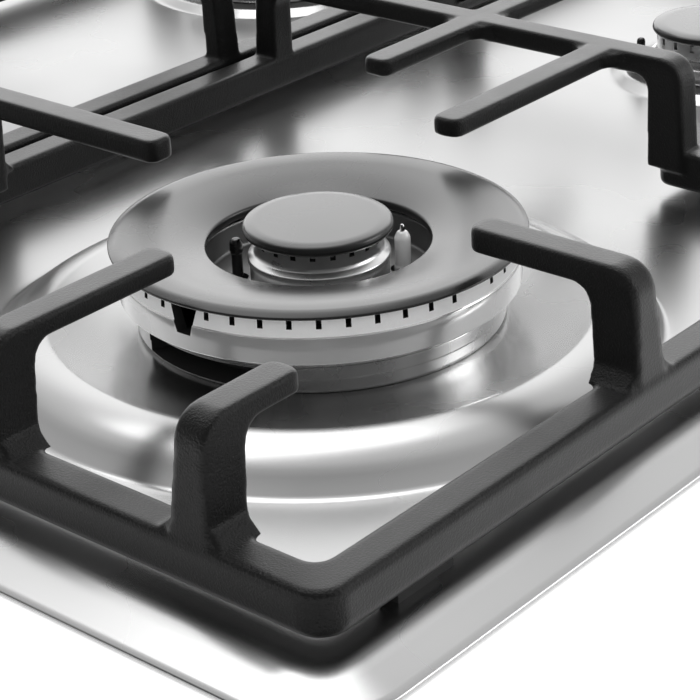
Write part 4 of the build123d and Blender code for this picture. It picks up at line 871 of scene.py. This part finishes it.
# ================================================================ small burners
def small_burner(name, centre, cap, port_turn):
    seat, z = SMALL_SEAT_Z, SMALL_HEAD_Z
    body = cap - 6.0
    parts = [turned("cup", centre, softened((
        (0.0, seat - 26.5), (body, seat - 26.5, 1.0), (body, seat, 0.3), (cap + 0.2, seat, 0.4),
        (cap + 1.0, seat + 1.4, 0.3), (cap + 1.0, z, 0.5), (body - 2.5, z, 0.5),
        (body - 2.5, seat - 24.0, 1.5), (0.0, seat - 24.0))), 160, 35)]
    for turn in (SMALL_PLUG_TURN, SMALL_SENSOR_TURN):
        parts.append(turned("ear", around(centre, cap + 4.5, turn), softened((
            (0.0, seat), (5.0, seat, 0.3), (5.0, z, 0.7), (0.0, z))), 64, 35))
    parts.append(gas_port("port", centre, body, port_turn))
    add_piece(joined(name + "_burner_base", parts), alloy_cast, "hob", "burner_alloy", name + "_base")
    head = turned(name + "_burner_head", centre, softened((
        (cap - 10.5, z), (cap - 0.6, z, 0.5), (cap - 2.1, z + 2.4, 0.8), (cap - 2.3, z + 2.9, 0.3),
        (cap - 1.8, z + 9.5, 0.3), (cap - 4.2, z + 9.5, 0.3), (cap - 4.2, z + 2.5, 0.8),
        (cap - 10.5, z + 2.5))), 160, 35)
    slots = round(2 * pi * (cap - 1.8) / 7.4)
    cut(head, slot_ring(centre, z + 9.5, slots, cap - 3.0, 1.6, 7.0, 3.3))
    shade(head.data, 35)
    add_piece(head, alloy_satin, name + "_head", "burner_alloy", name + "_head")
    lid = turned(name + "_burner_cap", centre, softened((
        (0.0, z + 7.9), (cap - 4.6, z + 7.9, 0.3), (cap - 4.6, z + 9.5), (cap - 0.9, z + 9.5, 0.6),
        (cap, z + 10.4, 1.0), (cap - 0.5, z + 12.3, 1.4), (cap - 4.0, z + 12.95, 3.0), (0.0, z + 13.0)), 6),
        160, 50)
    add_piece(lid, enamel, name + "_cap", "cap_enamel", name + "_cap")


for name, centre, cap in SMALL:
    small_burner(name, centre, cap, -90.0 if name == "front_right" else 0.0)


# ================================================================ spark plugs and flame sensors
def plugs_and_sensors():
    ceramics = [turned("ceramic", PLUG_SPOT, softened((
        (0.0, 54.0), (2.0, 54.0), (2.0, DECK_Z), (2.8, DECK_Z, 0.2), (2.8, DECK_Z + 7.0, 0.3),
        (2.55, DECK_Z + 7.6, 0.3), (2.55, 76.6, 0.8), (1.5, 78.5, 0.6), (0.0, 78.5))), 48)]
    wires = [turned("wire", PLUG_SPOT, softened((
        (0.0, 77.5), (0.8, 77.5), (0.8, 80.0, 0.5), (0.45, 80.7, 0.3), (0.0, 80.7))), 24)]
    sensors = [turned("sensor", SENSOR_SPOT, softened((
        (0.0, 54.0), (1.3, 54.0), (1.3, DECK_Z), (2.1, DECK_Z, 0.2), (2.1, DECK_Z + 5.0, 0.2),
        (1.7, DECK_Z + 5.5, 0.2), (1.7, 74.0, 0.2), (2.1, 74.6, 0.2), (2.1, 77.6, 0.9), (1.2, 79.0, 0.6),
        (0.0, 79.0))), 48)]
    z = SMALL_HEAD_Z
    for _, centre, cap in SMALL:
        plug = around(centre, cap + 4.5, SMALL_PLUG_TURN)
        sensor = around(centre, cap + 4.5, SMALL_SENSOR_TURN)
        ceramics.append(turned("ceramic", plug, softened((
            (0.0, z), (2.8, z, 0.2), (2.8, z + 5.2, 0.7), (1.5, z + 7.0, 0.5), (0.0, z + 7.0))), 48))
        wires.append(turned("wire", plug, softened((
            (0.0, z + 6.0), (0.8, z + 6.0), (0.8, z + 8.0, 0.4), (0.4, z + 8.4, 0.3), (0.0, z + 8.4))), 24))
        sensors.append(turned("sensor", sensor, softened((
            (0.0, z), (2.1, z, 0.2), (2.1, z + 2.0, 0.2), (1.7, z + 2.4, 0.2), (1.7, z + 6.0, 0.8),
            (1.0, z + 7.0, 0.5), (0.0, z + 7.0))), 48))
    add_piece(joined("spark_plug_ceramics", ceramics), ceramic, "hob", "ceramic", "spark_ceramics")
    add_piece(joined("spark_plug_wires", wires), wire, "hob", "electrode", "spark_electrodes")
    add_piece(joined("flame_sensors", sensors), sensor_steel, "hob", "electrode", "thermocouples")


plugs_and_sensors()


# ================================================================ knobs
KNOB_Z = TOP_Z + 4.6
KNOB_TOP_Z = KNOB_Z + 21.0
GRIP_Z = KNOB_TOP_Z - 12.0


def grip_loop(half, reach, steps=14):
    """Outline of the grip: a bar across the knob with its ends on a circle."""
    half_turn = atan2(half, sqrt(reach * reach - half * half))
    loop = []
    for middle in (-pi / 2, pi / 2):
        for k in range(steps + 1):
            turn = middle + half_turn * (2 * k / steps - 1)
            loop.append((reach * cos(turn), reach * sin(turn)))
    return loop


GROOVE_DEPTH = 0.8


def bar_on_knob(name, x, half, near, far, top):
    """Bar from the groove's floor up to a height over the knob's top, near to far along the pointer."""
    corners = [(x + side * half, KNOB_Y + y, KNOB_TOP_Z + z) for z in (-GROOVE_DEPTH, top)
               for side, y in ((-1, near), (1, near), (1, far), (-1, far))]
    return mesh_from(name, corners, [(3, 2, 1, 0), (4, 5, 6, 7), (0, 1, 5, 4), (1, 2, 6, 5), (2, 3, 7, 6),
                                     (3, 0, 4, 7)])


def knob(n, x):
    """Skirt and grip as one moulding, with a groove across its top and a pale inlay in the groove."""
    centre = (x, KNOB_Y)
    skirt = turned("skirt", centre, softened((
        (4.05, KNOB_Z), (19.3, KNOB_Z, 0.3), (20.0, KNOB_Z + 0.7, 0.4), (19.1, GRIP_Z, 1.3),
        (14.0, GRIP_Z - 0.4, 2.0), (4.05, GRIP_Z - 0.6))), 128)
    levels = ((GRIP_Z - 3.0, 5.5, 18.0), (GRIP_Z + 1.0, 5.5, 18.4), (KNOB_TOP_Z - 4.0, 5.3, 17.9),
              (KNOB_TOP_Z - 1.6, 5.1, 17.4), (KNOB_TOP_Z - 0.5, 4.5, 16.8), (KNOB_TOP_Z, 3.5, 15.9))
    verts, faces = [], []
    for z, half, reach in levels:
        loop = grip_loop(half, reach)
        verts += [(x + px, KNOB_Y + py, z) for px, py in loop]
    count = len(loop)
    for level in range(len(levels) - 1):
        for k in range(count):
            m = (k + 1) % count
            low, high = level * count, (level + 1) * count
            faces.append((low + k, low + m, high + m, high + k))
    faces.append(tuple(range(count))[::-1])
    faces.append(tuple(len(verts) - count + k for k in range(count)))
    grip = mesh_from("grip", verts, faces)
    body = joined("knob_%d_cap" % n, [skirt, grip])
    skin = body.modifiers.new("skin", "REMESH")
    skin.mode = "VOXEL"
    skin.voxel_size = 0.35 * MM
    soft = body.modifiers.new("soft", "SMOOTH")
    soft.iterations = 4
    thin = body.modifiers.new("thin", "DECIMATE")
    thin.ratio = 0.16
    baked(body)
    cut(body, bar_on_knob("line", x, 0.8, 1.5, 18.5, 1.0))
    shade(body.data, 40)
    add_piece(body, plastic, "knob_%d" % n, "knob_plastic", "knob_%d" % n)
    inlay = bar_on_knob("knob_%d_pointer" % n, x, 0.78, 1.52, 15.2, -0.3)
    add_piece(bevelled(inlay, 0.15, 2), marking, "knob_%d" % n, "knob_plastic")


for n, x in enumerate(KNOB_XS, start=1):
    knob(n, x)

rings = [turned("ring", (x, KNOB_Y), softened((
    (5.5, TOP_Z), (23.0, TOP_Z), (23.0, TOP_Z + 0.5, 0.3), (22.2, TOP_Z + 1.2, 0.5), (20.6, TOP_Z + 1.2, 0.4),
    (20.2, TOP_Z + 0.8, 0.3), (7.2, TOP_Z + 0.8, 0.3), (6.8, TOP_Z + 1.2, 0.3), (5.5, TOP_Z + 1.2))), 128)
    for x in KNOB_XS]
add_piece(joined("knob_rings", rings), bezel, "hob", "bezel_metal", "knob_bezels")


# ================================================================ return springs
SPRING_Z = 31.3
SPRING_TALL = 7.2
SPRING_R = 5.1
SPRING_WIRE_R = 0.45
SPRING_TURNS = 5


def return_spring(n, x):
    """Wound wire under the knob, built at one fixed length."""
    around_wire, around_turn = 8, 32
    rise = SPRING_TALL - 2 * SPRING_WIRE_R
    steps = SPRING_TURNS * around_turn
    verts, faces = [], []
    for k in range(steps + 1):
        turn = 2 * pi * k / around_turn
        for j in range(around_wire):
            tilt = 2 * pi * j / around_wire
            radius = SPRING_R + SPRING_WIRE_R * cos(tilt)
            verts.append((x + radius * cos(turn), KNOB_Y + radius * sin(turn),
                          SPRING_Z + SPRING_WIRE_R + rise * k / steps + SPRING_WIRE_R * sin(tilt)))
    for k in range(steps):
        for j in range(around_wire):
            m = (j + 1) % around_wire
            a, b = k * around_wire, (k + 1) * around_wire
            faces.append((a + j, b + j, b + m, a + m))
    faces.append(tuple(range(around_wire)))
    faces.append(tuple(steps * around_wire + j for j in range(around_wire))[::-1])
    coil = mesh_from("return_spring_%d_coil" % n, verts, faces)
    add_piece(coil, wire, "hob", "spring_steel", "return_spring_%d" % n)
    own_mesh(coil)


for n, x in enumerate(KNOB_XS, start=1):
    return_spring(n, x)


# ================================================================ finishes of the pieces kept from the frame
KEPT = {
    "bottom_tray": steel_tray, "worktop_clamps": zinc, "clamp_screws": zinc, "tray_screws": zinc,
    "front_grate_feet": rubber, "rear_grate_feet": rubber, "injectors": brass, "gas_rail": zinc,
    "gas_inlet": brass, "gas_taps": brass, "burner_pipes": tube,
    "ignition_switches": plastic, "ignition_box": plastic, "mains_gland": plastic,
}
for n in range(1, len(KNOB_XS) + 1):
    KEPT["spindle_%d" % n] = brass
    KEPT["spring_collar_%d" % n] = brass
for node, material in KEPT.items():
    paint(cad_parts[node], material)


# ================================================================ worktop, light and backdrop
FLOOR_GLOW = 0.3
ROOM_LEVEL = 0.44
DIFFUSE_LEVEL = 0.95
# heading and height in degrees, half width, soft edge, how much it adds to the room's level
ROOM_PANELS = (
    (41.0, 54.0, 48.0, 11.0, 0.5),
    (41.0, 16.0, 34.0, 9.0, 0.85),
    (-47.0, 22.0, 12.0, 6.0, 4.8),
    (160.0, 14.0, 34.0, 10.0, -0.36),
    (222.0, 18.0, 44.0, 12.0, -0.34),
)


def pale_worktop():
    """Pale surface that the rim rests on, drawn white to the camera and to reflections."""
    mesh = bpy.data.meshes.new("worktop")
    half = 6.0
    corners = [(-half, -half, 0), (half, -half, 0), (half, half, 0), (-half, half, 0)]
    mesh.from_pydata(corners, [], [(0, 1, 2, 3)])
    mesh.transform(Matrix.Translation((0, 0, WORKTOP_Z * MM)))
    floor = new_object("worktop", mesh)
    material = bpy.data.materials.new("pale worktop")
    material.use_nodes = True
    n, link = material.node_tree.nodes, material.node_tree.links.new
    shader = n["Principled BSDF"]
    shader.inputs["Base Color"].default_value = (0.93, 0.93, 0.93, 1)
    shader.inputs["Roughness"].default_value = 0.7
    shader.inputs["Emission Color"].default_value = (1, 1, 1, 1)
    glow = n.new("ShaderNodeMath")
    glow.operation = "MULTIPLY"
    glow.inputs[1].default_value = FLOOR_GLOW
    link(plainly_seen(n, link), glow.inputs[0])
    link(glow.outputs[0], shader.inputs["Emission Strength"])
    paint(floor, material)


def plainly_seen(n, link):
    """1 for rays of the camera and for those mirrored or passed on by the object, else 0."""
    ray = n.new("ShaderNodeLightPath")
    last = ray.outputs["Is Camera Ray"]
    for kind in ("Is Glossy Ray", "Is Transmission Ray"):
        either = n.new("ShaderNodeMath")
        either.operation = "MAXIMUM"
        link(last, either.inputs[0])
        link(ray.outputs[kind], either.inputs[1])
        last = either.outputs[0]
    return last


def heading(turn, rise):
    turn, rise = radians(turn), radians(rise)
    return (cos(turn) * cos(rise), sin(turn) * cos(rise), sin(rise))


def white_room():
    """Even pale surroundings with wide soft panels of light and a few dark ones between them."""
    world = bpy.data.worlds.new("white room")
    bpy.context.scene.world = world
    world.use_nodes = True
    n, link = world.node_tree.nodes, world.node_tree.links.new
    backdrop = n["Background"]
    place = n.new("ShaderNodeTexCoord")
    last = None
    for turn, rise, spread, edge, gain in ROOM_PANELS:
        near = n.new("ShaderNodeVectorMath")
        near.operation = "DOT_PRODUCT"
        near.inputs[1].default_value = heading(turn, rise)
        link(place.outputs["Generated"], near.inputs[0])
        panel = n.new("ShaderNodeMapRange")
        panel.interpolation_type = "SMOOTHSTEP"
        panel.inputs["From Min"].default_value = cos(radians(spread + edge))
        panel.inputs["From Max"].default_value = cos(radians(max(spread - edge, 0.0)))
        panel.inputs["To Min"].default_value = 0.0
        panel.inputs["To Max"].default_value = gain
        link(near.outputs["Value"], panel.inputs["Value"])
        total = n.new("ShaderNodeMath")
        total.operation = "ADD"
        link(panel.outputs["Result"], total.inputs[0])
        if last is None:
            total.inputs[1].default_value = ROOM_LEVEL
        else:
            link(last, total.inputs[1])
        last = total.outputs[0]
    floored = n.new("ShaderNodeMath")
    floored.operation = "MAXIMUM"
    floored.inputs[1].default_value = 0.02
    link(last, floored.inputs[0])
    seen = plainly_seen(n, link)
    level = n.new("ShaderNodeMix")
    level.inputs["A"].default_value = DIFFUSE_LEVEL
    link(seen, level.inputs["Factor"])
    link(floored.outputs[0], level.inputs["B"])
    link(level.outputs["Result"], backdrop.inputs["Strength"])
    backdrop.inputs["Color"].default_value = (1, 1, 1, 1)


def softbox(name, spot, target, size, power):
    lamp = bpy.data.lights.new(name, "AREA")
    lamp.shape = "RECTANGLE"
    lamp.size, lamp.size_y = size
    lamp.energy = power
    holder = bpy.data.objects.new(name, lamp)
    bpy.context.scene.collection.objects.link(holder)
    spot, target = Vector(spot), Vector(target)
    holder.location = spot
    holder.rotation_euler = (target - spot).to_track_quat("-Z", "Y").to_euler()


pale_worktop()
white_room()
softbox("top softbox", (0.2, 0.6, 2.0), (0.0, 0.0, 0.05), (1.6, 1.2), 14.0)
